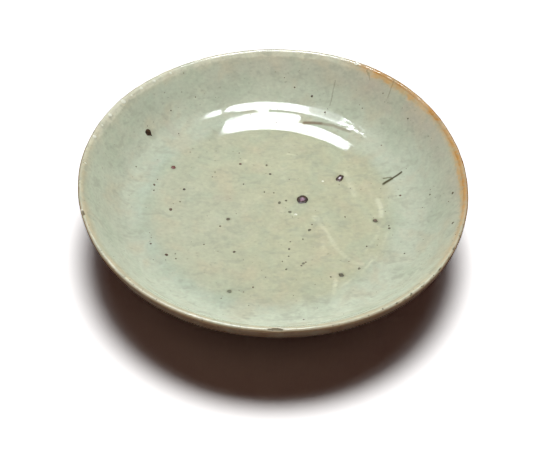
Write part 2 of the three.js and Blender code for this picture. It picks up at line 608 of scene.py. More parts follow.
# Runs of cream glaze across the floor, with three painted highlights among them.
CREAM_RUNS_AND_GLINTS = (
    Stroke(((29, 21.5), (31, 15), (32.5, 9)), 1.7, 0.6),
    Stroke(((41.5, 6.8), (42.8, 2.5), (42.9, -2)), 1.5, 1.0),
    Stroke(((16.6, -3.4), (17.6, -4.4)), 1.9, 0.9),
    Stroke(((17.3, -5), (20.5, -9.5), (25.4, -19.5), (31, -26), (35, -27)), 1.3, 0.5),
    Stroke(((24.5, -35), (23.8, -42.5)), 1.3, 0.7),
    Stroke(((5.5, 31.4), (7.2, 31), (8.8, 29.8)), 0.7, 0.8),
    Stroke(((-12.5, 26.5), (-11.8, 26.2)), 1.1, 0.7),
    Stroke(((3.5, 17.5), (4.8, 16.5)), 1.5, 0.4),
    Stroke(((19.5, -14.5), (20, -18.5)), 1.2, 0.5),
    Stroke(((36, -20), (41, -12), (42, -7)), 1.1, 0.5),
    # These three are painted highlights: small glints of the lamp beside the grains, painted cream.
    Stroke(((7.6, -1.8), (8.0, -2.3)), 0.9, 1.0),
    Stroke(((28.6, 21.6), (29.4, 20.6)), 1.1, 0.9),
    Stroke(((-43.0, 19.0),), 1.0, 0.8),
    Stroke(((13.2, 9.4), (14.4, 9.6)), 0.9, 0.6),
)

PINK_SMEARS = (
    Stroke(((-22.5, 5.6), (-17.5, 5.2)), 2.2, 0.8),
    Stroke(((-44.5, 42), (-41, 39)), 3.0, 0.6),
    Stroke(((-50.5, 16), (-49.9, 20.8), (-46.5, 23.5)), 1.4, 0.6),
    Stroke(((31, -21.5), (34.5, -27)), 1.6, 0.45),
)

MATTE_PATCHES = (
    Stroke(((15.5, 55.0), (20.0, 53.4), (25.5, 50.6)), 3.4, 1.0),
)

# Grooves round the thrown ring's corner. They are lowered in the relief and painted dark, which is painted
# shade along the grooves.
FURROWS = (
    Stroke(((12.2, 48.4), (16, 48.4), (19, 48.1)), 1.25, 1.0),
    Stroke(((17, 48.4), (24, 47), (30.7, 43.6)), 1.25, 0.6),
    Stroke(((-14.6, 53.2), (-9.5, 54.6)), 0.6, 0.35),
    Stroke(((2.5, 54.4), (8.5, 54.2)), 0.5, 0.3),
)


@dataclass(frozen=True)
class Stretch:
    """A stretch of the rim, by the azimuths in degrees between which it sets in and fades."""

    start: float
    full: float
    fading: float
    end: float

    def mask(self, azimuth: np.ndarray) -> np.ndarray:
        """1 along the stretch and 0 elsewhere, with soft ends."""
        return smooth(self.start, self.full, azimuth) * smooth(self.end, self.fading, azimuth)


AMBER_STRETCH = Stretch(-40, 12, 50, 70)
# The stretch at the back where the crest is painted pale, which is partly painted light.
PALE_STRETCH = Stretch(58, 74, 158, 172)
# Where the painted highlight along the front crest lies, and the crest's flaws.
FRONT_STRETCH = Stretch(-168, -145, -50, -30)
PITTED_STRETCH = Stretch(-70, -52, -24, -12)
WORN_STRETCH = Stretch(-165, -150, -80, -55)
THROWN_ARC = Stretch(-84, -62, -8, 6)
FILLED_STRETCHES = (Stretch(97, 99, 109, 113), Stretch(75, 78, 90, 92))


@dataclass(frozen=True)
class RimBands:
    """How far below the lip's crest each of the rim's colours reaches, in millimetres."""

    ridge: float = 0.2
    inner_ridge: float = 0.08
    brink: float = 0.9
    hem: float = 1.9
    edge: float = 1.5
    outer_edge: float = 2.6
    tan: float = 2.6
    cream: float = 2.9
    thin: float = 4.4
    glow: float = 13.0


@dataclass(frozen=True)
class Relief:
    """How far the traces of throwing and of the flowing glaze stand proud, in millimetres."""

    ring_bead: float = 0.14
    ring_groove: float = 0.14
    groove_bank: float = 0.08
    lumps: float = 0.05
    ring_lumps: float = 0.03
    wall_lumps: float = 0.04
    throwing: float = 0.035
    throwing_pitch: float = 5.2
    outer_throwing: float = 0.05
    outer_pitch: float = 4.1
    swell: float = 0.08
    run: float = 0.1
    furrow: float = 0.08
    rim_waver: float = 0.1
    rim_ripple: float = 0.05
    filled_step: float = 0.15
    filled_blot: float = 0.05


@dataclass(frozen=True)
class Fineness:
    """How far apart the rings of the skin lie along the section, in millimetres."""

    outside: float = 1.3
    lip: float = 0.25
    inside: float = 0.84
    thrown_ring: tuple[float, float] = (44, 59)
    closer_there: float = 2.1


class Bowl:
    """The glazed bowl's whole visible skin, turned once so that its coats meet without a seam."""

    bands = RimBands()
    relief = Relief()
    fineness = Fineness()

    def __init__(self, section: Section, warp: Warp) -> None:
        """Turns the skin from the foot over the lip to the floor's centre.

        Args:
            section: the bowl's half section.
            warp: how the rim is out of true.
        """
        self.section = section
        self.warp = warp
        fine = self.fineness
        outer = ring_places(section.outer(), fine.outside)
        lip = ring_places(section.lip(), fine.lip)
        inner = ring_places(section.inner(), fine.inside, fine.thrown_ring, fine.closer_there)
        self.outer_rings = (0, len(outer))
        self.lip_rings = (len(outer) - 1, len(outer) + len(lip) - 1)
        self.inner_rings = (len(outer) + len(lip) - 2, len(outer) + len(lip) + len(inner) - 2)
        line = np.concatenate([outer, lip[1:], inner[1:]])
        places, counts, radii, azimuths = revolve(line)
        self.skin = Turned(places, counts, radii, azimuths)
        self.side = np.repeat(np.arange(len(line)), counts)
        faces = ring_faces(counts)
        self.skin.masks = self._masks()
        normals = point_normals(places, faces)
        shaped = places + normals * self._relief()[:, None]
        self.skin.places = warp.applied(shaped, section)
        self.normals = point_normals(self.skin.places, faces)

    def _inside(self) -> np.ndarray:
        """1 on the inner face and the lip's inner half, 0 outside."""
        middle = (self.lip_rings[0] + self.lip_rings[1]) / 2
        return (self.side > middle).astype(float)

    def _masks(self) -> dict[str, np.ndarray]:
        """Where the glaze is pooled, run, stained, chipped or thin: values from 0 to 1, by name."""
        radius, azimuth, places = self.skin.radii, self.skin.azimuths, self.skin.places
        inside = self._inside()
        shifted = places - np.array([self.warp.well_offset, 0, 0])
        patchy, broad = drift(places, size=9, seed=3), drift(places, size=26, seed=4)
        well = self.section.well_radius
        left = smooth(70, 120, np.abs(azimuth))
        pool = hill(radius, well + 1.4, 3.6) * (0.45 + 0.5 * left + 0.5 * patchy)
        pool += 0.45 * smooth(well, well + 9, radius) * (0.5 + 0.8 * broad)
        arc = 0.55 * THROWN_ARC.mask(azimuth) * hill(radius, well - 0.9, 0.6) * np.clip(0.8 + patchy, 0, 1)
        floor = {
            "inner": inside,
            "pool": np.clip(pool, 0, 1) * inside,
            # The run mask also carries the painted glints.
            "run": np.maximum(strongest(CREAM_RUNS_AND_GLINTS, shifted), arc) * inside,
            "stain": strongest(PINK_SMEARS, shifted) * inside,
            "halo": self._halos(shifted) * inside,
            "matte": strongest(MATTE_PATCHES, shifted) * inside,
            "furrow": strongest(FURROWS, shifted) * inside,
            "chip": self._chips(),
        }
        return floor | self._rim_masks(patchy, broad)

    def _rim_masks(self, patchy: np.ndarray, broad: np.ndarray) -> dict[str, np.ndarray]:
        """Where the rim's colours and flaws lie: values from 0 to 1, by name.

        Args:
            patchy: random values that make the bands' edges waver.
            broad: likewise, over longer ways.

        Returns:
            The masks.
        """
        bands, azimuth, places = self.bands, self.skin.azimuths, self.skin.places
        inside = self._inside()
        below = self.section.rim_height - places[:, 2]
        crest = below + 0.4 * patchy + 0.5 * broad
        depth = below + 0.04 * drift(places, size=1.6, seed=19)
        around = AMBER_STRETCH.mask(azimuth)
        pitted = PITTED_STRETCH.mask(azimuth) + 0.5 * WORN_STRETCH.mask(azimuth)
        pitted += 0.35 * smooth(150, 175, np.abs(azimuth))
        front = (0.1 + 0.9 * smooth(-76, -104, azimuth)) * FRONT_STRETCH.mask(azimuth)
        ridge = np.where(inside > 0, bands.inner_ridge, bands.ridge)
        edge = np.where(inside > 0, smooth(bands.edge, 0.1, crest), smooth(bands.outer_edge, 0.3, crest))
        return {
            "ridge": smooth(ridge, 0.02, depth),
            "hem": (1 - inside) * smooth(0.0, 0.08, depth) * smooth(bands.hem, 0.5, depth),
            "brink": smooth(bands.brink, 0.25, depth),
            "thin": smooth(bands.thin, 0.1, crest) * inside,
            "edge": edge,
            "cream": smooth(bands.cream, 0.4, crest) * inside,
            # The outer face below the crest, which takes the outside's painted shade.
            "outside": (1 - inside) * smooth(0.12, 0.7, below + 0.1 * patchy),
            "gold": np.clip(around * (0.85 + 0.5 * patchy + 0.4 * hill(azimuth, 46, 16)), 0, 1),
            "glow": np.clip(around * smooth(bands.glow, 2, crest) * (0.8 + 0.6 * patchy), 0, 1) * inside,
            "tan": np.clip(smooth(bands.tan, 0.6, crest) * smooth(-20, -60, azimuth), 0, 1) * inside,
            "pale": np.clip(PALE_STRETCH.mask(azimuth) * (1 + 0.4 * patchy), 0, 1),
            "front": np.clip(front * (0.8 + 0.6 * patchy), 0, 1),
            "pitted": pitted,
        }

    def _halos(self, shifted: np.ndarray) -> np.ndarray:
        """How strongly each grain of iron tints the glaze round it.

        Args:
            shifted: places on the bowl, in millimetres from the rim's centre.

        Returns:
            One number from 0 to 1 for each place.
        """
        halos = []
        for grain in GRAINS:
            x, y = self.plan(grain.radius, grain.azimuth)
            halos.append(Stroke(((x, y),), 0.62 * grain.length + 0.5, grain.halo))
        return strongest(halos, shifted)

    def _chips(self) -> np.ndarray:
        """Depth of the nicks in the lip, as a share of the deepest."""
        skin = self.skin
        centre_radius = self.section.rim_radius - self.section.crest_outer_round
        centre_height = self.section.rim_height - self.section.crest_outer_round
        turn = np.degrees(np.arctan2(skin.places[:, 2] - centre_height, skin.radii - centre_radius))
        near = hill(skin.radii, centre_radius, 2.6) * hill(skin.places[:, 2], centre_height + 1, 2.2)
        ragged = 0.6 * drift(skin.places, size=1.1, seed=7)
        depth = np.zeros(len(turn))
        for nick in NICKS:
            turned = (skin.azimuths - nick.azimuth + WHOLE / 2) % WHOLE - WHOLE / 2
            along = np.radians(turned) * skin.radii
            reach = (2 * along / nick.length) ** 2 + ((turn - nick.lean) / nick.spread) ** 2
            bite = smooth(1.25, 0.35, reach + ragged) * near
            depth = np.maximum(depth, bite * nick.depth)
        return depth / max(nick.depth for nick in NICKS)

    def _relief(self) -> np.ndarray:
        """How far the skin stands proud of the true section, in millimetres."""
        section, skin, size = self.section, self.skin, self.relief
        radius, azimuth, places = skin.radii, skin.azimuths, skin.places
        inside = self._inside()
        well = section.well_radius
        front_right = hill(azimuth, -42, 28)
        bead = size.ring_bead * hill(radius, well - 1.9, 0.9) * hill(azimuth, 4, 24)
        groove = -size.ring_groove * hill(radius, well + 0.3, 0.5) * front_right
        groove += size.groove_bank * hill(radius, well - 1, 0.8) * front_right
        lumps = size.lumps * drift(places, size=7, seed=11) * hill(radius, well + 1.5, 9)
        near_ring = hill(radius, well - 1.6, 3.0) * hill(azimuth, 55, 20)
        lumps += size.ring_lumps * near_ring * drift(places, size=3.0, seed=12)
        on_wall = hill(radius, well + 8.5, 3.0) * hill(azimuth, 55, 9)
        lumps += size.wall_lumps * on_wall * drift(places, size=1.9, seed=18)
        winding = azimuth / WHOLE
        throwing = size.throwing * np.sin(2 * math.pi * (radius / size.throwing_pitch + winding))
        throwing *= smooth(well + 3, well + 9, radius)
        swell = size.swell * drift(places, size=22, seed=13)
        runs = size.run * skin.masks["run"] - size.furrow * skin.masks["furrow"]
        chips = -max(nick.depth for nick in NICKS) * skin.masks["chip"]
        inner = inside * (bead + groove + self._cove() + lumps + throwing + runs)
        outer_waves = np.sin(2 * math.pi * (places[:, 2] / size.outer_pitch + winding))
        outer = (1 - inside) * (size.outer_throwing * outer_waves)
        crest = smooth(section.rim_height - 2.2, section.rim_height - 0.3, places[:, 2])
        wavering = size.rim_waver * drift(places, size=5, seed=14)
        wavering += size.rim_ripple * drift(places, size=1.7, seed=15)
        foot_hold = smooth(section.foot_radius, section.foot_radius + 3, radius)
        shaped = (inner + swell) * np.maximum(inside, foot_hold) + outer * foot_hold
        return shaped + crest * wavering + chips

    def _edge_rise(self, edge: Edge) -> np.ndarray:
        """How much higher the floor's edge stands where it takes another shape, in mm."""
        line = self.section.inner()[::-1]
        reach = 72.0
        radius = np.linspace(0, reach, RISE_POINTS)
        height = np.interp(radius, line[:, 0], line[:, 1])
        own = np.gradient(height, radius)
        wanted = np.tan(np.radians(np.interp(radius, edge.radii, edge.slopes)))
        inside = (radius > edge.radii[0]) & (radius < edge.radii[-1])
        rise = np.cumsum(np.where(inside, wanted - own, 0)) * radius[1]
        return np.interp(self.skin.radii, radius, rise * smooth(reach, edge.radii[-1], radius))

    def _cove(self) -> np.ndarray:
        """Relief round the thrown ring at the back, where the glaze filled its corner, in mm."""
        radius, azimuth, places = self.skin.radii, self.skin.azimuths, self.skin.places
        wander = 1.6 * drift(places, size=4, seed=16)
        lean = 1.4 * (radius - 50)
        turn = smooth(73.5, 79, azimuth + 0.5 * wander)
        filled = turn * smooth(121, 113, azimuth + lean + wander)
        broad = smooth(36, 46, azimuth) * (1 - turn)
        cove = filled * self._edge_rise(FILLED_EDGE) + broad * self._edge_rise(BROAD_EDGE)
        lines = np.maximum(*(stretch.mask(azimuth) for stretch in FILLED_STRETCHES))
        step = smooth(53.9, 54.7, radius + 0.3 * drift(places, size=5, seed=17)) * smooth(62, 56, radius)
        blot = hill(azimuth, 94, 3.2) * hill(radius, 48.6, 0.5)
        return cove - self.relief.filled_step * lines * step - self.relief.filled_blot * blot

    def seat(self, x: float, y: float) -> tuple[np.ndarray, np.ndarray]:
        """A place on the bowl's inner face and the normal there.

        Args:
            x: across from the rim's centre, in millimetres.
            y: away from the viewer, likewise.

        Returns:
            The place in millimetres and the unit normal.
        """
        first = self.skin.starts[(self.lip_rings[0] + self.lip_rings[1]) // 2]
        away = np.sum((self.skin.places[first:, :2] - (x, y)) ** 2, axis=1)
        nearest = np.argpartition(away, 4)[:4]
        weight = 1 / (away[nearest] + 1e-4)
        weight /= weight.sum()
        place = (self.skin.places[first:][nearest] * weight[:, None]).sum(axis=0)
        normal = (self.normals[first:][nearest] * weight[:, None]).sum(axis=0)
        return place, normal / np.linalg.norm(normal)

    def plan(self, radius: float, azimuth: float) -> tuple[float, float]:
        """Where a place given from the well's centre lies after the warp, across and away."""
        flat = radius * _heading(azimuth)
        moved = self.warp.applied(np.array([[flat[0], flat[1], 0.0]]), self.section)[0]
        return float(moved[0]), float(moved[1])

    def coat(self, name: str, rings: tuple[int, int]) -> bpy.types.Object:
        """Makes one coat of glaze as a thin closed solid.

        Args:
            name: the piece's name.
            rings: first ring and one past the last.

        Returns:
            The new object, with the whole skin's own normals on its visible face.
        """
        first, last = rings
        starts = self.skin.starts
        low = starts[first]
        high = starts[last - 1] + self.skin.counts[last - 1]
        top = self.skin.places[low:high]
        normals = self.normals[low:high]
        counts = self.skin.counts[first:last]
        kept = _backing_rings(counts)
        chosen = _ring_points(counts, kept)
        below = top[chosen] - normals[chosen] * self.section.coat
        back_counts = [counts[ring] for ring in kept]
        total = len(top)
        faces = ring_faces(counts) + ring_faces(back_counts, total, flip=True)
        faces += _end_wall(0, total, counts[0], flip=True)
        if counts[-1] > 1:
            back_end = total + len(below) - back_counts[-1]
            faces += _end_wall(total - counts[-1], back_end, counts[-1], flip=False)
        masks = {
            mask: np.concatenate([values[low:high], values[low:high][chosen]])
            for mask, values in self.skin.masks.items()
        }
        piece = new_piece(name, np.concatenate([top, below]), faces, masks)
        both = np.concatenate([normals, -normals[chosen]])
        piece.data.normals_split_custom_set_from_vertices(both.tolist())
        return piece

    def core(self, name: str) -> bpy.types.Object:
        """Makes the clay under the coats, with a flat underside inside the foot.

        Args:
            name: the piece's name.

        Returns:
            The new object.
        """
        section = self.section
        depth = section.coat + section.bond_gap
        kept = _backing_rings(self.skin.counts, 3)
        chosen = _ring_points(self.skin.counts, kept)
        below = self.skin.places[chosen] - self.normals[chosen] * depth
        flat = np.array([(0, section.foot_height), (section.foot_radius - depth - 0.5, section.foot_height)])
        places, counts, _, _ = revolve(ring_places(flat, 3.5))
        underside = self.warp.applied(places, section)
        counts = [*counts, *(self.skin.counts[ring] for ring in kept)]
        return new_piece(name, np.concatenate([underside, below]), ring_faces(counts))


def _ring_points(counts: Sequence[int], kept: Sequence[int]) -> np.ndarray:
    """Indices of the points of some of the rings."""
    starts = ring_starts(counts)
    return np.concatenate([np.arange(starts[ring], starts[ring] + counts[ring]) for ring in kept])


def _backing_rings(counts: Sequence[int], every: int = 8) -> list[int]:
    """Rings kept for a hidden face: one in so many, both ends and each change of count."""
    kept = {0, len(counts) - 1}
    kept.update(range(0, len(counts), every))
    for ring in range(1, len(counts)):
        if counts[ring] != counts[ring - 1]:
            kept.update((ring - 1, ring))
    return sorted(kept)


def _end_wall(top: int, back: int, count: int, flip: bool) -> list[tuple[int, ...]]:
    """Faces between the end rings of a coat's visible and hidden faces.

    Args:
        top: index of the visible ring's first point.
        back: index of the hidden ring's first point.
        count: points in each ring.
        flip: turns the faces over.

    Returns:
        The faces.
    """
    faces = []
    for i in range(count):
        j = (i + 1) % count
        face = (top + i, back + i, back + j, top + j)
        faces.append(face if flip else face[::-1])
    return faces


class Op(Enum):
    """Math node operations that the finishes use."""

    ADD = "ADD"
    SUBTRACT = "SUBTRACT"
    MULTIPLY = "MULTIPLY"
    DIVIDE = "DIVIDE"
    POWER = "POWER"
    MINIMUM = "MINIMUM"
    MAXIMUM = "MAXIMUM"
    ARCTAN2 = "ARCTAN2"


class Value:
    """A number in a shader, which Python's operators combine into Math nodes."""

    def __init__(self, sheet: "Sheet", socket: bpy.types.NodeSocket) -> None:
        """Wraps an output socket.

        Args:
            sheet: the node tree's own sheet.
            socket: the socket that gives the number.
        """
        self.sheet = sheet
        self.socket = socket

    def _with(self, op: Op, first: Any, second: Any) -> "Value":
        """One Math node on two values."""
        node = self.sheet.node("ShaderNodeMath", {"operation": op.value}, {0: first, 1: second})
        return Value(self.sheet, node.outputs[0])

    def __add__(self, other: Any) -> "Value":
        """self + other."""
        return self._with(Op.ADD, self, other)

    def __radd__(self, other: Any) -> "Value":
        """other + self."""
        return self._with(Op.ADD, other, self)

    def __sub__(self, other: Any) -> "Value":
        """self - other."""
        return self._with(Op.SUBTRACT, self, other)

    def __rsub__(self, other: Any) -> "Value":
        """other - self."""
        return self._with(Op.SUBTRACT, other, self)

    def __mul__(self, other: Any) -> "Value":
        """self * other."""
        return self._with(Op.MULTIPLY, self, other)

    def __rmul__(self, other: Any) -> "Value":
        """other * self."""
        return self._with(Op.MULTIPLY, other, self)

    def __truediv__(self, other: Any) -> "Value":
        """self / other."""
        return self._with(Op.DIVIDE, self, other)

    def __pow__(self, other: Any) -> "Value":
        """self ** other."""
        return self._with(Op.POWER, self, other)

    def least(self, other: Any) -> "Value":
        """The smaller of the two."""
        return self._with(Op.MINIMUM, self, other)

    def most(self, other: Any) -> "Value":
        """The larger of the two."""
        return self._with(Op.MAXIMUM, self, other)

    def turn(self, across: Any) -> "Value":
        """The direction in radians of a place this far in depth and that far across."""
        return self._with(Op.ARCTAN2, self, across)

    def step(self, low: Any, high: Any) -> "Value":
        """A soft step from 0 to 1 between low and high, which may run downward."""
        node = self.sheet.node(
            "ShaderNodeMapRange",
            {"interpolation_type": "SMOOTHSTEP"},
            {"Value": self, "From Min": low, "From Max": high, "To Min": 0.0, "To Max": 1.0},
        )
        return Value(self.sheet, node.outputs[0])


@dataclass(frozen=True)
class Mark:
    """A thin line in the glaze, by its ends in the floor plan and how wide it is, in millimetres."""

    start: tuple[float, float]
    end: tuple[float, float]
    width: float


HAIRS = (
    Mark((24.6, 62.5), (22.7, 56), 0.35),
    Mark((48.3, 55), (46, 50.5), 0.35),
    Mark((37.3, 61.5), (38.8, 58.5), 0.3),
)
SCRATCH = Mark((44.4, 15.0), (51.7, 20.5), 0.6)
FORK = Mark((44.2, 17.6), (47.3, 18.0), 0.55)
SMEAR = Mark((44.2, 14.8), (47.6, 17.4), 0.95)


class Sheet:
    """The node tree of a material or of the room, filled through a few plain calls."""

    def __init__(self, owner: bpy.types.Material | bpy.types.World) -> None:
        """Empties the owner's node tree.

        Args:
            owner: the material or the world that the nodes belong to.
        """
        self.owner = owner
        owner.use_nodes = True
        self.tree = owner.node_tree
        self.tree.nodes.clear()

    def node(self, kind: str, settings: dict[str, Any], inputs: dict[Any, Any]) -> bpy.types.Node:
        """Adds any node.

        Args:
            kind: the node's type.
            settings: its properties, set first.
            inputs: by socket name or index, a number, a tuple, a socket or a Value.

        Returns:
            The new node.
        """
        node = self.tree.nodes.new(kind)
        for key, value in settings.items():
            setattr(node, key, value)
        for key, value in inputs.items():
            socket = node.inputs[key]
            source = value.socket if isinstance(value, Value) else value
            if isinstance(source, bpy.types.NodeSocket):
                self.tree.links.new(source, socket)
            else:
                socket.default_value = source
        return node

    def mix(self, share: Any, first: Any, second: Any, blend: str = "MIX") -> bpy.types.NodeSocket:
        """Mixes two colours.

        Args:
            share: how much of the second, from 0 to 1.
            first: a colour or a colour socket.
            second: likewise.
            blend: the Mix node's way of blending.

        Returns:
            The mixed colour's socket.
        """
        colours = [(*c, 1.0) if isinstance(c, tuple) and len(c) == 3 else c for c in (first, second)]
        settings = {"data_type": "RGBA", "blend_type": blend, "clamp_factor": True}
        node = self.node("ShaderNodeMix", settings, {0: share, 6: colours[0], 7: colours[1]})
        return node.outputs[2]

    def vector(self, operation: str, inputs: dict[int, Any], output: str = "Vector") -> bpy.types.NodeSocket:
        """Vector Math on places and ways.

        Args:
            operation: the node's operation.
            inputs: values or sockets by index.
            output: which of the node's outputs is wanted.

        Returns:
            That output's socket.
        """
        return self.node("ShaderNodeVectorMath", {"operation": operation}, inputs).outputs[output]

    def millimetres(self) -> bpy.types.NodeSocket:
        """The place on the bowl, in millimetres."""
        place = self.node("ShaderNodeTexCoord", {}, {}).outputs["Object"]
        return self.vector("SCALE", {0: place, 3: 1 / MM})

    def mask(self, name: str) -> Value:
        """A value that the mesh carries at its points."""
        node = self.node("ShaderNodeAttribute", {"attribute_name": name}, {})
        return Value(self, node.outputs["Fac"])

    def noise(self, place: Any, size: float, seed: float, detail: float = 2.0, stretch: float = 0.0) -> Value:
        """Smooth noise from 0 to 1.

        Args:
            place: the place socket, in millimetres.
            size: how far apart its hills lie, in millimetres.
            seed: picks another pattern.
            detail: finer layers on top.
            stretch: how far the pattern is pulled about by itself.

        Returns:
            The noise.
        """
        inputs = {"Vector": place, "W": seed, "Scale": 1 / size, "Detail": detail, "Distortion": stretch}
        node = self.node("ShaderNodeTexNoise", {"noise_dimensions": "4D"}, inputs)
        return Value(self, node.outputs[0])

    def spots(self, place: Any, size: float, share: float, width: float) -> Value:
        """Round spots, one in some of the cells of a random pattern.

        Args:
            place: the place socket, in millimetres.
            size: about how far apart the cells lie, in millimetres.
            share: how many of the cells hold a spot.
            width: a spot's radius as a share of size.

        Returns:
            1 in a spot and 0 outside, with soft edges.
        """
        node = self.node("ShaderNodeTexVoronoi", {}, {"Vector": place, "Scale": 1 / size})
        pick = self.node("ShaderNodeSeparateColor", {}, {0: node.outputs["Color"]})
        chosen = Value(self, pick.outputs[0]).step(1 - share, 1 - share + 0.01)
        radius = width * (0.5 + 0.5 * Value(self, pick.outputs[1]))
        distance = Value(self, node.outputs["Distance"])
        return (radius - distance).step(0.0, width * 0.45) * chosen

    def line(self, place: Any, mark: Mark) -> Value:
        """A thin line between two points of the floor plan.

        Args:
            place: the place socket, in millimetres, with its height set to 0.
            mark: the line's ends, and its width from its middle to where it fades out.

        Returns:
            1 on the line and 0 away from it.
        """
        origin = (*mark.start, 0.0)
        run = (mark.end[0] - mark.start[0], mark.end[1] - mark.start[1], 0.0)
        long = run[0] ** 2 + run[1] ** 2
        offset = self.vector("SUBTRACT", {0: place, 1: origin})
        along = self.vector("DOT_PRODUCT", {0: offset, 1: run}, "Value")
        share = (Value(self, along) / long).most(0.0).least(1.0)
        foot = self.vector("SCALE", {0: run, 3: share})
        away = self.vector("DISTANCE", {0: offset, 1: foot}, "Value")
        return Value(self, away).step(mark.width, mark.width * 0.3)

    def surface(
        self, colour: Any, roughness: Any, height: Any, strength: float, depth: float, refraction: float = 1.5
    ) -> bpy.types.ID:
        """Ends a material with its colour, its gloss and its fine unevenness.

        Args:
            colour: a colour or a colour socket.
            roughness: from 0 for glassy to 1 for dull.
            height: the unevenness, from 0 to 1.
            strength: how much of the unevenness the light shows.
            depth: how high a height of 1 stands, in metres.
            refraction: how strongly it bends light.

        Returns:
            The material.
        """
        bump = self.node("ShaderNodeBump", {}, {"Strength": strength, "Distance": depth, "Height": height})
        traits = {"Base Color": colour, "Roughness": roughness, "Normal": bump.outputs[0], "IOR": refraction}
        return self.finish(self.node("ShaderNodeBsdfPrincipled", {}, traits).outputs[0])

    def finish(self, surface: bpy.types.NodeSocket) -> bpy.types.ID:
        """Ends the tree with a surface and returns its owner."""
        kind = "World" if isinstance(self.owner, bpy.types.World) else "Material"
        self.node(f"ShaderNodeOutput{kind}", {}, {"Surface": surface})
        return self.owner


def new_sheet(name: str) -> Sheet:
    """The empty sheet of a new material."""
    return Sheet(bpy.data.materials.new(name))


@dataclass(frozen=True)
class Ground:
    """What a finish is worked out from: places in millimetres, and noise and masks from 0 to 1.

    x runs across, y in depth and out away from the well's centre.
    """

    sheet: Sheet
    place: bpy.types.NodeSocket
    x: Value
    y: Value
    out: Value
    broad: Value
    cloudy: Value
    fine: Value
    chip: Value


@dataclass(frozen=True)
class Zones:
    """Where the glaze's looks start and end to change, in millimetres across, in depth or outward."""

    left_to_middle: tuple[float, float] = (-60, 30)
    # The depths between which the front inner wall's painted light sets in.
    front_wall: tuple[float, float] = (-20, -54)
    back: tuple[float, float] = (5, 50)
    grey: tuple[float, float] = (30, 60)
    streaks: tuple[float, float] = (34, 50)
    wall: tuple[float, float] = (46, 54)
    high_wall: tuple[float, float] = (62, 70)


@dataclass(frozen=True)
class Cover:
    """How strongly each trait of the glaze covers what lies under it, from 0 to 1."""

    grey: float = 0.5
    pool: float = 0.7
    run: float = 0.8
    stain: float = 0.7
    straw: float = 0.5
    tan: float = 0.7
    worn: float = 0.3
    pale: float = 0.9
    orange: float = 0.5
    gilt: float = 0.85
    # Strength of the painted highlight along the front crest.
    bare: float = 0.9
    blush: float = 0.4
    cool: float = 0.35
    curdled: float = 0.4
    fleck: float = 0.3
    dash: float = 0.5
    # Strength of the painted shade along the furrows.
    furrow: float = 0.75
    small_speck: float = 0.55
    large_speck: float = 0.75
    pale_speck: float = 0.6
    halo: float = 0.8
    streak: float = 0.2
    hair: float = 0.35
    fork: float = 0.75
    scratch: float = 0.95
    chip: float = 0.85
    deep_chip: float = 0.8
    pock: float = 0.8
    flaw: float = 0.7


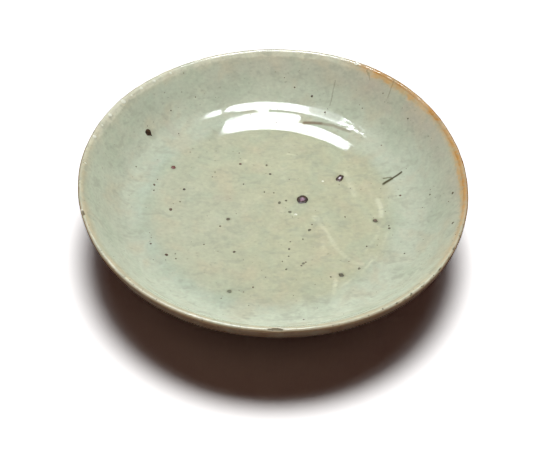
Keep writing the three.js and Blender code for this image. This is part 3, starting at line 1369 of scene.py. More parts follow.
@dataclass(frozen=True)
class Glaze:
    """The pale feldspathic glaze: its colours where it is thick, thin, pooled, run or stained, with light and
    shade painted on it in places.

    The well shift is how far left of the axis the well's centre lies, in millimetres. The streak
    spread is how many millimetres of the streaks' noise go to a radian of the wheel's turn.
    """

    name: str = "pale_glaze"
    left: Colour = shown(197, 202, 178)
    middle: Colour = shown(199, 201, 171)
    wall: Colour = shown(204, 210, 188)
    # Painted light: the front inner wall, which faces the lamp, is lighter.
    front_wall: Colour = shown(222, 230, 207)
    pooled: Colour = shown(190, 206, 190)
    cream: Colour = shown(228, 230, 202)
    mauve: Colour = shown(190, 176, 160)
    grey: Colour = shown(176, 180, 160)
    dash: Colour = shown(150, 152, 124)
    fleck: Colour = shown(206, 206, 184)
    blush: Colour = shown(206, 196, 168)
    cool: Colour = shown(186, 200, 176)
    straw: Colour = shown(217, 203, 168)
    tan: Colour = shown(196, 184, 150)
    pearl: Colour = shown(226, 226, 204)
    amber: Colour = shown(222, 184, 120)
    gilt: Colour = shown(194, 138, 66)
    orange: Colour = shown(218, 160, 84)
    rust: Colour = shown(154, 110, 58)
    white: Colour = shown(246, 244, 224)
    # Painted shade, on the outside and along the furrows.
    painted_shade_umber: Colour = shown(124, 98, 76)
    clay: Colour = shown(112, 100, 70)
    pit: Colour = shown(72, 58, 40)
    soot: Colour = shown(86, 80, 58)
    olive: Colour = shown(112, 110, 78)
    speck: Colour = shown(142, 140, 112)
    roughness: float = 0.1
    well_shift: float = 1.5
    streak_spread: float = 12.0
    zones: Zones = Zones()
    cover: Cover = Cover()

    def _ground(self, sheet: Sheet) -> Ground:
        """The places and the noise that the glaze is worked out from.

        Args:
            sheet: the material's node tree.

        Returns:
            The same for every layer of colour.
        """
        place = sheet.millimetres()
        axes = sheet.node("ShaderNodeSeparateXYZ", {}, {0: place})
        x, y = Value(sheet, axes.outputs[0]), Value(sheet, axes.outputs[1])
        return Ground(
            sheet,
            place,
            x,
            y,
            out=((x + self.well_shift) ** 2 + y**2) ** 0.5,
            broad=sheet.noise(place, size=30, seed=1, detail=2),
            cloudy=sheet.noise(place, size=8, seed=2, detail=3, stretch=0.6),
            fine=sheet.noise(place, size=1.6, seed=3, detail=3),
            chip=sheet.mask("chip").step(0.12, 0.4),
        )

    def material(self) -> bpy.types.Material:
        """Builds the glaze.

        Returns:
            The material.
        """
        ground = self._ground(new_sheet(self.name))
        sheet, place, cloudy = ground.sheet, ground.place, ground.cloudy
        middle = (ground.x + (ground.broad - 0.5) * 70).step(*self.zones.left_to_middle)
        # Painted light: the front inner wall, which faces the lamp behind the bowl, is painted lighter.
        front = (ground.y + (cloudy - 0.5) * 12).step(*self.zones.front_wall)
        wall = (ground.out + (cloudy - 0.5) * 6).step(*self.zones.wall)
        colour = sheet.mix(middle, self.left, self.middle)
        colour = sheet.mix(wall, colour, sheet.mix(front, self.wall, self.front_wall))
        lower = (self._pooled, self._thinned, self._mottled)
        for layer in (*lower, self._streaked, self._cracked, self._chipped):
            colour = layer(ground, colour)

        pits = sheet.spots(place, size=2.6, share=0.16, width=0.1)
        chatter = sheet.noise(place, size=1.1, seed=7, detail=2) * sheet.mask("edge").step(0.2, 0.8)
        skin = sheet.noise(place, size=2.4, seed=6, detail=2) * 0.55
        skin = skin + ground.fine * 0.14 - pits * 0.8 + chatter * 0.8
        rough = self.roughness + sheet.mask("outside") * 0.12
        rough = rough + ground.chip * 0.4 + sheet.mask("matte") * 0.32
        return sheet.surface(colour, rough, skin, strength=0.55, depth=0.00006)

    def _pooled(self, ground: Ground, colour: Any) -> Any:
        """The colour with its pools, runs, painted glints, stains and the greyish mauve high on the back
        wall.

        Args:
            ground: the places and the noise to work from.
            colour: what lies under it.

        Returns:
            The new colour.
        """
        sheet, broad, cloudy = ground.sheet, ground.broad, ground.cloudy
        x, y, out = ground.x, ground.y, ground.out
        grey = (broad * 0.5 + cloudy * 0.5).step(0.48, 0.66)
        colour = sheet.mix(grey * out.step(*self.zones.grey) * self.cover.grey, colour, self.grey)
        pool = (sheet.mask("pool") * (0.2 + cloudy * 1.2)).least(1.0)
        colour = sheet.mix(pool * self.cover.pool, colour, self.pooled)
        run = (sheet.mask("run") * (cloudy * 1.6 + 0.1)).least(1.0)
        colour = sheet.mix(run * self.cover.run, colour, self.cream)
        stain = sheet.mask("stain") * (cloudy * 1.2 - 0.1)
        colour = sheet.mix(stain * self.cover.stain, colour, self.mauve)
        high = (out + (cloudy - 0.5) * 6).step(*self.zones.high_wall)
        back = y.step(*self.zones.back) * (x * 0.02 + 0.5).step(-0.5, 0.5)
        return sheet.mix(high * back * (0.1 + cloudy * 0.45), colour, self.mauve)

    def _thinned(self, ground: Ground, colour: Any) -> Any:
        """The colour with the rim's straw, amber and rust, the crest's pale pearl that is partly painted
        light, the outside's painted shade and a painted highlight along the front crest.

        Args:
            ground: the places and the noise to work from.
            colour: what lies under it.

        Returns:
            The new colour.
        """
        sheet, cloudy, fine = ground.sheet, ground.cloudy, ground.fine
        thin, edge, gold = sheet.mask("thin"), sheet.mask("edge"), sheet.mask("gold")
        cover = self.cover
        colour = sheet.mix((thin * (cloudy * 2.2 - 0.45)).least(1.0) * cover.straw, colour, self.straw)
        colour = sheet.mix(sheet.mask("glow") * (cloudy * 0.6 + 0.15), colour, self.mauve)
        tanned = (sheet.mask("tan") * (cloudy + fine - 0.3)).least(1.0)
        colour = sheet.mix(tanned * cover.tan, colour, self.tan)
        warm = (thin + (cloudy - 0.5) * 0.6 + (fine - 0.5) * 0.7).step(0.25, 0.95)
        colour = sheet.mix(warm * gold * (thin * 0.62 + 0.08), colour, self.amber)
        # Painted shade: the outside is painted dark umber because the outer wall faces away from the lamps.
        # This also darkens the light it throws into the floor's shadow.
        colour = sheet.mix(sheet.mask("outside") * (0.75 + cloudy * 0.4), colour, self.painted_shade_umber)
        worn = (edge + (fine - 0.5) * 0.5 + (cloudy - 0.5) * 0.8).step(0.35, 0.85)
        colour = sheet.mix(worn * cover.worn, colour, self.straw)
        # The back of the crest is painted pale pearl. This is partly the thin glaze's cream and partly
        # painted light where the crest turns up to the lamp.
        cream = (sheet.mask("cream") + (fine - 0.5) * 0.5 + (cloudy - 0.5) * 0.6).step(0.25, 0.8)
        colour = sheet.mix(worn.most(cream) * sheet.mask("pale") * cover.pale, colour, self.pearl)
        fiery = (thin + (cloudy - 0.5) * 0.7 + (fine - 0.5) * 0.8).step(0.6, 0.95) * gold
        colour = sheet.mix(fiery * cover.orange, colour, self.orange)
        brink = (sheet.mask("brink") + (fine - 0.5) * 0.6).step(0.3, 0.8)
        colour = sheet.mix(brink * gold * cover.gilt, colour, self.gilt)
        hem = (sheet.mask("hem") + (fine - 0.5) * 0.5).step(0.3, 0.7) * (1.0 - sheet.mask("pale") * 0.6)
        colour = sheet.mix(hem * (0.4 + gold * 0.55), colour, self.rust)
        # Painted highlight: a near-white line along the front crest that stands for the lamp's reflection on
        # the lip.
        bare = (sheet.mask("ridge") + (fine - 0.5) * 1.3).step(0.5, 0.9) * sheet.mask("front")
        return sheet.mix(bare * cover.bare, colour, self.white)

    def _mottled(self, ground: Ground, colour: Any) -> Any:
        """The colour with its clouds, fine grain, the furrows' painted shade, dark and pale specks and the
        grains' halos.

        Args:
            ground: the places and the noise to work from.
            colour: what lies under it.

        Returns:
            The new colour.
        """
        sheet, place, cloudy, fine = ground.sheet, ground.place, ground.cloudy, ground.fine
        drawn = sheet.vector("MULTIPLY", {0: place, 1: (0.6, 1.0, 1.0)})
        grit = sheet.noise(drawn, size=0.9, seed=8, detail=3)
        blotch = sheet.noise(place, size=11, seed=10, detail=2, stretch=0.4)
        curdled = sheet.noise(drawn, size=3.6, seed=12, detail=3, stretch=0.8)
        glazed = 1.0 - sheet.mask("outside")
        cover = self.cover
        colour = sheet.mix(blotch.step(0.5, 0.7) * glazed * cover.blush, colour, self.blush)
        colour = sheet.mix(blotch.step(0.5, 0.32) * glazed * cover.cool, colour, self.cool)
        colour = sheet.mix(curdled.step(0.52, 0.66) * glazed * cover.curdled, colour, self.grey)
        colour = sheet.mix(curdled.step(0.46, 0.32) * glazed * cover.fleck, colour, self.fleck)
        shade = 0.62 + cloudy * 0.28 + fine * 0.24 + grit * 0.24
        grey = sheet.node("ShaderNodeCombineColor", {}, {0: shade, 1: shade, 2: shade})
        colour = sheet.mix(1.0, colour, grey.outputs[0], "MULTIPLY")
        dashes = grit.step(0.36, 0.26) * cloudy.step(0.4, 0.6)
        colour = sheet.mix(dashes * cover.dash, colour, self.dash)
        # Painted shade along the furrows.
        colour = sheet.mix(sheet.mask("furrow") * cover.furrow, colour, self.painted_shade_umber)
        small = sheet.spots(drawn, size=2.0, share=0.3, width=0.15)
        large = sheet.spots(place, size=5.5, share=0.25, width=0.07)
        pale = sheet.spots(place, size=3.1, share=0.12, width=0.1)
        colour = sheet.mix(small * cover.small_speck, colour, self.speck)
        colour = sheet.mix(pale * cover.pale_speck * glazed, colour, self.cream)
        colour = sheet.mix(sheet.mask("halo") * cover.halo, colour, self.olive)
        return sheet.mix(large * cover.large_speck, colour, self.olive)

    def _streaked(self, ground: Ground, colour: Any) -> Any:
        """The colour with faint streaks that follow the wheel's turn.

        Args:
            ground: the places and the noise to work from.
            colour: what lies under it.

        Returns:
            The new colour.
        """
        sheet, out = ground.sheet, ground.out
        along = ground.y.turn(ground.x + self.well_shift) * self.streak_spread
        wound = sheet.node("ShaderNodeCombineXYZ", {}, {0: out, 1: along})
        streak = sheet.noise(wound.outputs[0], size=1.8, seed=9, detail=3, stretch=0.3)
        strength = streak.step(0.55, 0.75) * out.step(*self.zones.streaks)
        return sheet.mix(strength * self.cover.streak, colour, self.grey)

    def _cracked(self, ground: Ground, colour: Any) -> Any:
        """The colour with the hairline cracks from the rim and the forked dark scratch.

        Args:
            ground: the places and the noise to work from.
            colour: what lies under it.

        Returns:
            The new colour.
        """
        sheet, fine = ground.sheet, ground.fine
        flat = sheet.vector("MULTIPLY", {0: ground.place, 1: (1.0, 1.0, 0.0)})
        waver = sheet.node("ShaderNodeCombineXYZ", {}, {0: (fine - 0.5) * 1.2, 1: (fine - 0.5) * 0.9, 2: 0.0})
        plan = sheet.vector("ADD", {0: flat, 1: waver.outputs[0]})
        hairs = sheet.line(plan, HAIRS[0])
        for hair in HAIRS[1:]:
            hairs = hairs.most(sheet.line(plan, hair))
        inner = sheet.mask("inner")
        fork, smear, scratch = (sheet.line(plan, mark) * inner for mark in (FORK, SMEAR, SCRATCH))
        colour = sheet.mix(hairs * inner * self.cover.hair, colour, self.clay)
        colour = sheet.mix(fork.most(smear) * self.cover.fork, colour, self.olive)
        return sheet.mix(scratch * self.cover.scratch, colour, self.soot)

    def _chipped(self, ground: Ground, colour: Any) -> Any:
        """The colour with the bare clay of the lip's chips, and its pocks and small flaws.

        Args:
            ground: the places and the noise to work from.
            colour: what lies under it.

        Returns:
            The new colour.
        """
        sheet, place, fine = ground.sheet, ground.place, ground.fine
        pitted, cover = sheet.mask("pitted"), self.cover
        colour = sheet.mix(ground.chip * cover.chip, colour, self.clay)
        deep = (sheet.mask("chip") + (fine - 0.5) * 0.5).step(0.4, 0.75)
        colour = sheet.mix(deep * pitted.step(0.5, 1.0) * cover.deep_chip, colour, self.pit)
        pocks = sheet.spots(place, size=1.6, share=0.55, width=0.3) * sheet.mask("edge").step(0.1, 0.4)
        colour = sheet.mix(pocks * (pitted + 0.12).least(1.0) * cover.pock, colour, self.pit)
        flaws = sheet.spots(place, size=1.1, share=0.4, width=0.36) * sheet.mask("ridge").step(0.2, 0.7)
        return sheet.mix(flaws * sheet.mask("front") * cover.flaw, colour, self.clay)


@dataclass(frozen=True)
class Clay:
    """Fired stoneware clay with sand in it."""

    name: str
    body: Colour
    scorched: Colour
    sand: Colour
    roughness: float = 0.85

    def material(self) -> bpy.types.Material:
        """Builds the clay.

        Returns:
            The material.
        """
        sheet = new_sheet(self.name)
        place = sheet.millimetres()
        cloudy = sheet.noise(place, size=9, seed=21, detail=3)
        fine = sheet.noise(place, size=0.9, seed=22, detail=3)
        sand = sheet.spots(place, size=1.3, share=0.3, width=0.2)
        colour = sheet.mix(cloudy.step(0.35, 0.7), self.body, self.scorched)
        colour = sheet.mix(fine.step(0.45, 0.75) * 0.4, colour, self.sand)
        colour = sheet.mix(sand * 0.6, colour, self.sand)
        height = fine * 0.6 + sand * 0.5
        return sheet.surface(colour, self.roughness - fine * 0.1, height, strength=0.7, depth=0.00015)


@dataclass(frozen=True)
class Iron:
    """Melted iron: dark, with a purple crust in the largest grain and glaze over the smaller ones."""

    name: str = "melted_iron"
    black: Colour = shown(44, 34, 26)
    brown: Colour = shown(84, 62, 42)
    purple: Colour = shown(168, 134, 152)
    red: Colour = shown(122, 58, 46)
    lilac: Colour = shown(226, 220, 230)
    veiled: Colour = shown(134, 138, 108)
    roughness: float = 0.22

    def material(self) -> bpy.types.Material:
        """Builds the melted iron.

        Returns:
            The material.
        """
        sheet = new_sheet(self.name)
        place = sheet.millimetres()
        fine = sheet.noise(place, size=0.7, seed=31, detail=3)
        crust, red, veil = sheet.mask("crust"), sheet.mask("red"), sheet.mask("veil")
        colour = sheet.mix(fine.step(0.4, 0.65), self.black, self.brown)
        colour = sheet.mix((crust * (0.5 + fine)).least(1.0), colour, self.purple)
        # Painted highlight: a pale lilac glint in the crater of the back right grain.
        colour = sheet.mix((sheet.mask("glint") + (fine - 0.5) * 0.6).step(0.3, 0.8), colour, self.lilac)
        colour = sheet.mix(red * (0.5 + fine), colour, self.red)
        colour = sheet.mix(veil * (0.6 + fine * 0.6), colour, self.veiled)
        return sheet.surface(colour, self.roughness + fine * 0.2, fine, strength=0.8, depth=0.0001)


def dome_faces(around: int, rings: int, base: int) -> list[tuple[int, ...]]:
    """Faces of a closed dome: rings from its foot upward, then its top and its bottom point.

    Args:
        around: points in each ring.
        rings: how many rings it has.
        base: index of its first point.

    Returns:
        The faces.
    """
    faces = ring_faces([*[around] * rings, 1], base)
    bottom = base + around * rings + 1
    faces.extend((base + (i + 1) % around, base + i, bottom) for i in range(around))
    return faces


def standing(normal: np.ndarray) -> np.ndarray:
    """The turn that stands a dome on a surface with this normal."""
    return np.array(Vector((0, 0, 1)).rotation_difference(Vector(normal)).to_matrix())


def dress(piece: bpy.types.Object, material: bpy.types.Material) -> None:
    """Gives a piece its finish.

    Args:
        piece: the piece.
        material: its only material.
    """
    piece.data.materials.clear()
    piece.data.materials.append(material)


@dataclass
class Coats:
    """The three coats that make up the bowl's skin above the foot."""

    bowl: Bowl
    glaze: bpy.types.Material

    def build(self) -> list[bpy.types.Object]:
        """Makes the coats of the inside, the lip and the outside.

        Returns:
            The three pieces.
        """
        pieces = []
        for name, node, rings, slot in (
            ("glaze_inside", "inner_glaze", self.bowl.inner_rings, "pale_glaze"),
            ("glaze_lip", "lip_glaze", self.bowl.lip_rings, "rust_glaze"),
            ("glaze_outside", "outer_glaze", self.bowl.outer_rings, "shaded_glaze"),
        ):
            piece = self.bowl.coat(name, rings)
            dress(piece, self.glaze)
            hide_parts(node)
            pieces.append(piece)
        return pieces


@dataclass
class Foot:
    """The turned foot ring with its bare face, and the coats on either side of it.

    The wobble and the heights between which the glaze thins toward the bare face are in mm.
    """

    section: Section
    warp: Warp
    clay: bpy.types.Material
    glaze: bpy.types.Material
    wobble: float = 0.05
    thin_between: tuple[float, float] = (3.4, 1.3)

    def _closed(self, name: str, outline: np.ndarray) -> bpy.types.Object:
        """A ring turned from a closed outline, anticlockwise.

        Args:
            name: the piece's name.
            outline: N x 2 radius and height, or one that starts and ends on the axis.

        Returns:
            The new object.
        """
        places, counts, _, _ = revolve(outline)
        faces = ring_faces(counts)
        if counts[0] > 1:
            last = len(places) - counts[-1]
            for i in range(counts[0]):
                j = (i + 1) % counts[0]
                faces.append((last + i, last + j, j, i))
        wobble = self.wobble * drift(places, size=6, seed=41)
        outward = places / np.maximum(np.linalg.norm(places[:, :2], axis=1, keepdims=True), 1)
        outward[:, 2] = 0
        places = places + outward * wobble[:, None]
        low = smooth(*self.thin_between, places[:, 2] + 0.5 * drift(places, size=5, seed=42))
        # The foot's coats take part of the outside's painted shade.
        masks = {"outside": np.full(len(places), 0.6), "thin": low, "edge": 0.5 * low}
        return new_piece(name, self.warp.applied(places, self.section), faces, masks)

    def build(self) -> list[bpy.types.Object]:
        """Makes the ring and its coats.

        Returns:
            The three pieces.
        """
        size = self.section
        depth = size.coat + size.bond_gap
        face_out = size.foot_radius - size.foot_outer_taper
        top_in = size.foot_radius - size.foot_width
        face_in = top_in + size.foot_inner_taper
        top = size.foot_height - size.bond_gap
        wear = size.foot_edge_wear
        ring = np.array(
            [
                (face_in + wear, 0),
                (face_out - depth - wear, 0),
                (face_out - depth - wear * 0.3, wear * 0.3),
                (face_out - depth, wear),
                (size.foot_radius - depth, top),
                (top_in, top),
                (face_in, wear),
                (face_in + wear * 0.3, wear * 0.3),
            ]
        )
        pieces = [self._closed("foot_ring_turned", _densened(ring, True))]
        dress(pieces[0], self.clay)
        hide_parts("foot_ring")

        def beside(height: float, low: float, high: float) -> float:
            """Radius at a height on a side that runs from low at the face to high at the top."""
            return low + (high - low) * height / size.foot_height

        band = size.bare_band
        outer_low = beside(band, face_out, size.foot_radius)
        outer = np.array(
            [
                (outer_low - size.coat, band),
                (outer_low - size.coat * 0.3, band + 0.05),
                (beside(band + 0.4, face_out, size.foot_radius), band + 0.4),
                (beside(top, face_out, size.foot_radius), top),
                (size.foot_radius - size.coat, top),
            ]
        )
        pieces.append(self._closed("glaze_foot_side", _densened(outer, True)))
        inner_low = beside(band, face_in, top_in)
        near, far = size.bond_gap, depth
        recess = np.array(
            [
                (0, size.foot_height - far),
                (top_in - far - 0.6, size.foot_height - far),
                (top_in - far - 0.1, size.foot_height - far - 0.2),
                (top_in - far, size.foot_height - far - 0.7),
                (inner_low - far, band + 0.3),
                (inner_low - near, band),
                (top_in - near, size.foot_height - near),
                (0, size.foot_height - near),
            ]
        )
        pieces.append(self._closed("glaze_recess", _densened(recess, False)))
        for piece, node in zip(pieces[1:], ("foot_glaze", "recess_glaze")):
            dress(piece, self.glaze)
            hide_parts(node)
        return pieces


def _densened(outline: np.ndarray, closed: bool) -> np.ndarray:
    """An outline with points about every millimetre, its corners kept.

    Args:
        outline: N x 2 points.
        closed: whether its end joins its start, which is not repeated.

    Returns:
        The points.
    """
    corners = np.concatenate([outline, outline[:1]]) if closed else outline
    dense = [corners[0]]
    for start, end in zip(corners, corners[1:]):
        count = max(1, round(float(np.linalg.norm(end - start))))
        dense.extend(np.linspace(start, end, count + 1)[1:])
    return np.array(dense[:-1] if closed else dense)


@dataclass
class IronGrains:
    """The grains of iron that melted into the glaze, as crusted blobs with raised rims.

    The height and how deep a grain is sunk are in mm. The other traits are shares of its outline
    or of its height.
    """

    bowl: Bowl
    iron: bpy.types.Material
    around: int = 36
    rings: int = 9
    height: float = 0.32
    sunk: float = 0.12
    raggedness: float = 0.24
    crater: float = 0.45
    lumpiness: float = 0.22

    def blob(self, name: str, grain: Grain) -> bpy.types.Object:
        """One grain, as a closed lumpy lens.

        Args:
            name: the piece's name.
            grain: its place and size.

        Returns:
            The new object.
        """
        place, normal = self.bowl.seat(*self.bowl.plan(grain.radius, grain.azimuth))
        turns = np.arange(self.around) * (2 * math.pi / self.around)
        points = [np.zeros(3)]
        crust = [1.0]
        for ring in range(1, self.rings + 1):
            share = ring / self.rings
            for turn in turns:
                round_way = Vector((math.cos(turn) * 1.6, math.sin(turn) * 1.6, grain.seed * 3.7))
                ragged = 1 + self.raggedness * noise.noise(round_way)
                flat = Vector((math.cos(turn), math.sin(turn), 0)) * share * ragged
                flat.y *= 1 - grain.tail * float(smooth(-0.25, 0.75, np.array(flat.x)))
                dome = math.sqrt(max(0.0, 1 - share**2.6))
                crater = self.crater * math.exp(-((share / 0.5) ** 2)) * (grain.length > 2)
                over = Vector((flat.x * 2.4, flat.y * 2.4, grain.seed * 1.9))
                lump = self.lumpiness * noise.noise(over) * (1 - share)
                rise = self.height * (dome - crater + lump) - self.sunk
                points.append(np.array([flat.x * grain.length / 2, flat.y * grain.width / 2, rise]))
                crust.append(math.exp(-((share / (0.4 + 0.5 * (ragged - 1))) ** 4)))
        points[0] = np.mean(points[1 : self.around + 1], axis=0)
        points.append(np.array([0, 0, -self.sunk - self.height * 0.4]))
        crust.append(0.0)
        around, bottom = self.around, len(points) - 1
        turned_on = [(i + 1) % around for i in range(around)]
        faces = [(0, 1 + i, 1 + j) for i, j in enumerate(turned_on)]
        for base in range(1, bottom - around, around):
            faces.extend(
                (base + i, base + around + i, base + around + j, base + j) for i, j in enumerate(turned_on)
            )
        faces.extend((bottom - around + j, bottom - around + i, bottom) for i, j in enumerate(turned_on))
        spin = np.array(Matrix.Rotation(math.radians(grain.turn), 3, "Z"))
        placed = np.array(points) @ (standing(normal) @ spin).T + place
        even = np.ones(len(points))
        masks = {
            "crust": np.array(crust) * grain.purple,
            "glint": np.array(crust) ** 3 * grain.glint,
            "red": even * grain.red,
            "veil": even * grain.veil,
        }
        return new_piece(name, placed, faces, masks)

    def build(self) -> list[bpy.types.Object]:
        """Makes every grain that the record names.

        Returns:
            The pieces.
        """
        pieces = []
        for grain in GRAINS:
            piece = self.blob(grain.node.replace("iron_grain", "melted_grain"), grain)
            dress(piece, self.iron)
            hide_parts(grain.node)
            pieces.append(piece)
        return pieces


@dataclass(frozen=True)
class Speck:
    """A small speck of iron, by its place from the rim's centre and its radius, in mm."""

    x: float
    y: float
    radius: float


SPECKS = (
    Speck(6.9, -0.9, 0.65),
    Speck(2.6, 3.8, 0.59),
    Speck(5.0, 5.0, 0.44),
    Speck(-1.4, 19.5, 0.52),
    Speck(-3.1, 24.4, 0.44),
    Speck(-13.7, 24.5, 0.47),
    Speck(14.6, -10.0, 0.55),
    Speck(12.4, -27.3, 0.52),
    Speck(13.3, -26.6, 0.36),
    Speck(11.5, -28.1, 0.33),
    Speck(-35.5, 9.4, 0.55),
    Speck(-47.6, 10.6, 0.47),
    Speck(-14.2, -22.4, 0.47),
    Speck(-46.4, -20.7, 0.44),
    Speck(-40.0, -25.5, 0.65),
    Speck(-40.3, -1.7, 0.65),
    Speck(15.1, 60.0, 0.49),
    Speck(50.6, 8.4, 0.44),
    Speck(45.7, -8.8, 0.47),
    Speck(40.5, -4.2, 0.65),
    Speck(68.3, -16.6, 0.52),
    Speck(69.4, -0.9, 0.52),
    Speck(33.6, -29.2, 0.60),
    Speck(6.7, -20.0, 0.42),
    Speck(6.6, -23.6, 0.36),
    Speck(5.9, -30.2, 0.4),
    Speck(7.3, -16.4, 0.32),
    Speck(4.4, -26.5, 0.3),
    Speck(-3.6, 9.4, 0.34),
    Speck(-20.2, -9.5, 0.34),
    Speck(22.8, -33.6, 0.36),
    Speck(-6.5, -39.6, 0.36),
    Speck(28.4, -2.6, 0.3),
)


@dataclass
class IronSpecks:
    """The many small specks of iron, each a low dome, in one mesh.

    The profile gives each ring's share of the radius and its height, in mm. A speck that is smaller
    than the full radius is lower by as much.
    """

    bowl: Bowl
    iron: bpy.types.Material
    scattered: int = 110
    scatter_radius: float = 70.0
    smallest: float = 0.15
    largest: float = 0.38
    around: int = 10
    profile: tuple[tuple[float, float], ...] = ((1.0, 0.01), (0.72, 0.13), (0.36, 0.17))
    top: float = 0.18
    bottom: float = -0.12
    full_radius: float = 1 / 2.2
    seed: int = 5

    def _chosen(self) -> list[Speck]:
        """The specks that can be told apart, and as many scattered ones as there are besides."""
        pick = np.random.default_rng(self.seed)
        chosen = list(SPECKS)
        for _ in range(self.scattered):
            radius = self.scatter_radius * math.sqrt(pick.uniform())
            flat = radius * _heading(pick.uniform(0, WHOLE))
            size = self.smallest + (self.largest - self.smallest) * pick.uniform() ** 2.5
            chosen.append(Speck(float(flat[0]), float(flat[1]), size))
        return chosen

    def build(self) -> bpy.types.Object:
        """Makes the specks.

        Returns:
            The one piece.
        """
        turns = np.arange(self.around) * (2 * math.pi / self.around)
        pick = np.random.default_rng(self.seed + 1)
        points, faces, red, veil = [], [], [], []
        for speck in self._chosen():
            place, normal = self.bowl.seat(speck.x, speck.y)
            long = speck.radius * pick.uniform(1.0, 1.35)
            ragged = pick.uniform(0.85, 1.15, self.around)
            spin = pick.uniform(0, math.pi)
            faces += dome_faces(self.around, len(self.profile), len(points))
            shape = []
            for share, rise in self.profile:
                for turn, rough in zip(turns, ragged):
                    reach = share * rough
                    shape.append((long * reach * math.cos(turn), speck.radius * reach * math.sin(turn), rise))
            shape += [(0, 0, self.top), (0, 0, self.bottom)]
            red += [pick.uniform(0, 0.5)] * len(shape)
            veil += [pick.uniform(0.15, 0.75)] * len(shape)
            lower = np.array(shape) * (1, 1, min(1.0, speck.radius / self.full_radius))
            turned = np.array(Matrix.Rotation(spin, 3, "Z"))
            points.extend(lower @ turned.T @ standing(normal).T + place)
        masks = {"crust": np.zeros(len(points)), "red": np.array(red), "veil": np.array(veil)}
        piece = new_piece("iron_specks", np.array(points), faces, masks)
        dress(piece, self.iron)
        return piece


# Beads of glaze where the lip and floor show white glints. Their near-white colour is partly painted
# highlight.
PEARLS = (
    Speck(-61.7, 39.4, 0.95),
    Speck(-66.1, 31.5, 0.75),
    Speck(-50.3, 52.8, 0.7),
    Speck(-55.3, 48.0, 0.65),
    Speck(-70.9, 18.8, 0.75),
    Speck(33.2, 64.9, 0.8),
    Speck(-58.6, 43.6, 0.4),
    Speck(-43.9, 58.2, 0.5),
    Speck(-68.6, 25.4, 0.4),
    Speck(-72.8, 4.0, 0.4),
    Speck(9.0, -2.2, 0.55),
    Speck(19.8, 16.4, 0.45),
)


@dataclass(frozen=True)
class Pearl:
    """A bead of clear glaze, milky and very glossy, whose near-white colour is partly painted highlight."""

    name: str = "pearl_glaze"
    milky: Colour = shown(246, 248, 232)
    clouded: Colour = shown(210, 206, 180)
    roughness: float = 0.06

    def material(self) -> bpy.types.Material:
        """Builds the bead's glaze.

        Returns:
            The material.
        """
        sheet = new_sheet(self.name)
        place = sheet.millimetres()
        fine = sheet.noise(place, size=0.5, seed=51, detail=2)
        # Near-white, partly painted highlight for the glints on the beads.
        colour = sheet.mix(fine.step(0.3, 0.8) * 0.3, self.milky, self.clouded)
        return sheet.surface(colour, self.roughness + fine * 0.08, fine, strength=0.3, depth=0.00003)


@dataclass
class GlazePearls:
    """Beads of glaze that gathered on the inner edge of the lip, in one mesh.

    The height, how deep a bead is sunk and how far it is stretched are shares of its radius. The
    round of a bead starts below its widest ring, at the foot turn in degrees.
    """

    bowl: Bowl
    glaze: bpy.types.Material
    around: int = 18
    rings: int = 6
    height: float = 0.36
    sunk: float = 0.3
    stretch: float = 1.2
    foot_turn: float = -20.0

    def build(self) -> bpy.types.Object:
        """Makes the beads.

        Returns:
            The one piece.
        """
        turns = np.arange(self.around) * (2 * math.pi / self.around)
        points, faces = [], []
        for pearl in PEARLS:
            place, normal = self.bowl.seat(pearl.x, pearl.y)
            faces += dome_faces(self.around, self.rings, len(points))
            shape = []
            for ring in range(self.rings):
                rise = math.radians(self.foot_turn + (QUARTER - self.foot_turn) * ring / self.rings)
                flat = pearl.radius * math.cos(rise)
                high = pearl.radius * self.height * math.sin(rise)
                for turn in turns:
                    shape.append((self.stretch * flat * math.cos(turn), flat * math.sin(turn), high))
            shape += [(0, 0, pearl.radius * self.height), (0, 0, -pearl.radius * self.sunk)]
            points.extend(np.array(shape) @ standing(normal).T + place)
        piece = new_piece("glaze_pearls", np.array(points), faces)
        dress(piece, self.glaze)
        return piece


@dataclass(frozen=True)
class Lamp:
    """A lamp: where it stands, how broad it looks and how strongly it lights.

    The tilts are degrees from overhead, away from the viewer and to the right. The width and the
    depth are the angles over which the bowl sees it, in degrees, across and away. The strength is
    the share of full light that it gives a surface that faces it. The distance is in metres.
    """

    name: str
    tilt_back: float
    tilt_side: float
    width: float
    strength: float
    depth: float = 0.0
    on_floor: bool = True
    mirrored: bool = True
    spread: bool = True
    colour: Colour = (1.0, 1.0, 1.0)
    distance: float = 1.4

    def build(self, lit: bpy.types.Collection) -> None:
        """Makes the lamp.

        Args:
            lit: the pieces that a lamp lights which keeps off the floor.
        """
        lamp = bpy.data.lights.new(self.name, "AREA")
        lamp.shape = "ELLIPSE"
        lamp.color = self.colour
        lamp.size = 2 * self.distance * math.tan(math.radians(self.width / 2))
        lamp.size_y = 2 * self.distance * math.tan(math.radians((self.depth or self.width) / 2))
        lamp.energy = self.strength * math.pi**2 * self.distance**2
        back, side = math.tan(math.radians(self.tilt_back)), math.tan(math.radians(self.tilt_side))
        direction = Vector((side, back, 1)).normalized()
        holder = bpy.data.objects.new(self.name, lamp)
        holder.location = direction * self.distance
        across = Vector((0, 1, 0)).cross(direction).normalized()
        turn = Matrix((across, direction.cross(across), direction)).transposed()
        holder.rotation_mode = "QUATERNION"
        holder.rotation_quaternion = turn.to_quaternion()
        holder.visible_glossy = self.mirrored
        holder.visible_diffuse = self.spread
        if not self.on_floor:
            holder.light_linking.receiver_collection = lit
        bpy.context.scene.collection.objects.link(holder)


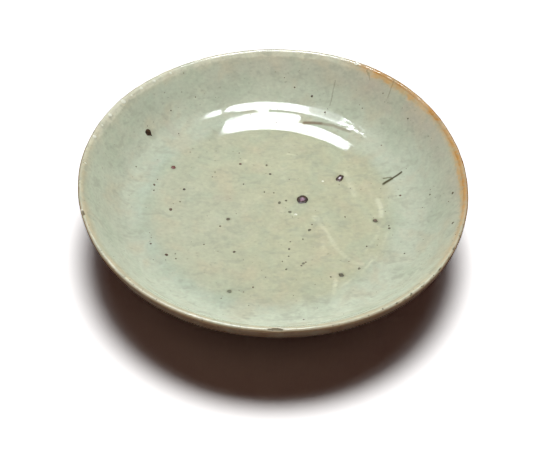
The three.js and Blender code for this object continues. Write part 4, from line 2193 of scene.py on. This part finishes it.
@dataclass
class Studio:
    """A pale floor, a broad lamp high and slightly behind, low fill on the bowl and a dim room.

    The floor's half width is in metres. The two radii, in millimetres, are those between which the
    floor passes from lamplight to plain white.
    """

    lamps: tuple[Lamp, ...] = (
        Lamp("key_lamp", 15.0, 0.2, 26.5, 0.52, depth=18.5, mirrored=False),
        Lamp("key_fringe", 15.0, 0.8, 42, 0.16, depth=25, mirrored=False),
        Lamp("gleam", 15.0, -3.4, 27.5, 0.8, 19, on_floor=False, spread=False, colour=(0.94, 1.0, 1.06)),
        Lamp("low_front", -68, 0, 46, 0.36, on_floor=False, mirrored=False),
        Lamp("low_back", 62, 0, 46, 0.3, on_floor=False, mirrored=False),
        Lamp("low_left", -48, -62, 46, 0.14, on_floor=False, mirrored=False),
        Lamp("low_right", 0, 64, 46, 0.12, on_floor=False, mirrored=False),
        Lamp("top_fill", 0, 0, 110, 0.1, on_floor=False, mirrored=False),
    )
    room: Colour = (0.0145, 0.0058, 0.0052)
    floor_colour: Colour = (0.2, 0.13, 0.11)
    floor_seen: Colour = (2.1, 2.08, 2.07)
    plain_white: Colour = (1.0, 1.0, 1.0)
    floor_half: float = 3.0
    lit_radius: float = 350.0
    white_radius: float = 800.0

    def _room(self) -> None:
        """A dim warm room that the camera sees as white."""
        world = bpy.data.worlds.new("room")
        bpy.context.scene.world = world
        sheet = Sheet(world)
        rays = sheet.node("ShaderNodeLightPath", {}, {})
        through = Value(sheet, rays.outputs["Is Transmission Ray"])
        seen = Value(sheet, rays.outputs["Is Camera Ray"]).most(through)
        dim = sheet.node("ShaderNodeBackground", {}, {"Color": (*self.room, 1.0)})
        white = sheet.node("ShaderNodeBackground", {}, {"Color": (*self.plain_white, 1.0)})
        either = sheet.node("ShaderNodeMixShader", {}, {0: seen, 1: dim.outputs[0], 2: white.outputs[0]})
        sheet.finish(either.outputs[0])

    def _floor(self) -> None:
        """A broad floor that throws little light back and that the camera sees as white.

        Far from the bowl, where the lamps don't reach, it is the same plain white as the room.
        """
        sheet = new_sheet("floor")
        rays = sheet.node("ShaderNodeLightPath", {}, {})
        seen = Value(sheet, rays.outputs["Is Camera Ray"])
        axes = sheet.node("ShaderNodeSeparateXYZ", {}, {0: sheet.millimetres()})
        x, y = Value(sheet, axes.outputs[0]), Value(sheet, axes.outputs[1])
        far = ((x**2 + y**2) ** 0.5).step(self.lit_radius, self.white_radius)
        colour = sheet.mix(seen, self.floor_colour, self.floor_seen)
        near = sheet.node("ShaderNodeBsdfDiffuse", {}, {"Color": colour})
        plain = sheet.node("ShaderNodeEmission", {}, {"Color": (*self.plain_white, 1.0), "Strength": 1.0})
        shaders = {0: seen * far, 1: near.outputs[0], 2: plain.outputs[0]}
        material = sheet.finish(sheet.node("ShaderNodeMixShader", {}, shaders).outputs[0])
        half = self.floor_half
        mesh = bpy.data.meshes.new("floor")
        corners = [(-half, -half, 0), (half, -half, 0), (half, half, 0), (-half, half, 0)]
        mesh.from_pydata(corners, [], [(0, 1, 2, 3)])
        mesh.materials.append(material)
        floor = bpy.data.objects.new("floor", mesh)
        bpy.context.scene.collection.objects.link(floor)

    def build(self, pieces: Sequence[bpy.types.Object]) -> None:
        """Sets the lamps, the room and the floor, and the plain view transform.

        Args:
            pieces: the bowl's pieces, which the fill lamps light.
        """
        lit = bpy.data.collections.new("lit_by_fill")
        for piece in pieces:
            lit.objects.link(piece)
        for lamp in self.lamps:
            lamp.build(lit)
        self._room()
        self._floor()
        bpy.context.scene.view_settings.view_transform = "Standard"


@dataclass(frozen=True)
class Shot:
    """The camera: where it stands from the rim's centre and how it is turned."""

    frame_width: float = 550.0
    lens_pixels: float = 1300.0
    elevation: float = 46.49
    distance: float = 0.4995
    roll: float = 1.81
    pan: float = -0.125
    tilt: float = -2.1458
    sensor: float = 36.0

    def build(self, rim_centre: Vector) -> None:
        """Makes the camera.

        Args:
            rim_centre: the centre of the rim's plane, in metres.
        """
        up_angle = math.radians(self.elevation)
        back = Vector((0, -math.cos(up_angle), math.sin(up_angle)))
        right = Vector((1, 0, 0))
        up = right.cross(-back)
        turned = Matrix.Rotation(math.radians(self.pan), 3, up)
        right, back = turned @ right, turned @ back
        tipped = Matrix.Rotation(math.radians(self.tilt), 3, right)
        up, back_tipped = tipped @ up, tipped @ back
        rolled = Matrix.Rotation(math.radians(self.roll), 3, back_tipped)
        right, up = rolled @ right, rolled @ up
        data = bpy.data.cameras.new("camera")
        data.sensor_width = self.sensor
        data.lens = self.sensor * self.lens_pixels / self.frame_width
        data.clip_start = 0.01
        camera = bpy.data.objects.new("camera", data)
        stand = rim_centre + Vector((0, -math.cos(up_angle), math.sin(up_angle))) * self.distance
        axes = Matrix((right, up, back_tipped)).transposed()
        camera.matrix_world = Matrix.Translation(stand) @ axes.to_4x4()
        bpy.context.scene.collection.objects.link(camera)
        bpy.context.scene.camera = camera


def main() -> None:
    """Builds the bowl piece by piece, then the studio and the camera."""
    logging.basicConfig(level=logging.INFO, format="%(name)s: %(message)s")
    section, warp = Section(), Warp()
    bowl = Bowl(section, warp)
    glaze = Glaze().material()
    fired = Clay("fired_clay", shown(134, 118, 100), shown(110, 92, 74), shown(160, 146, 126))
    turned = Clay("foot_clay", shown(168, 132, 96), shown(132, 92, 60), shown(190, 164, 130))
    core = bowl.core("thrown_clay")
    dress(core, fired.material())
    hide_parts("clay_body")
    pieces = [core, *Coats(bowl, glaze).build()]
    pieces += Foot(section, warp, turned.material(), glaze).build()
    iron = Iron().material()
    pieces += IronGrains(bowl, iron).build()
    pieces.append(IronSpecks(bowl, iron).build())
    pieces.append(GlazePearls(bowl, Pearl().material()).build())
    for piece in pieces:
        log.info("made %s with %d faces", piece.name, len(piece.data.polygons))
    Studio().build(pieces)
    Shot().build(Vector((0, 0, section.rim_height * MM)))


if __name__ == "__main__":
    main()
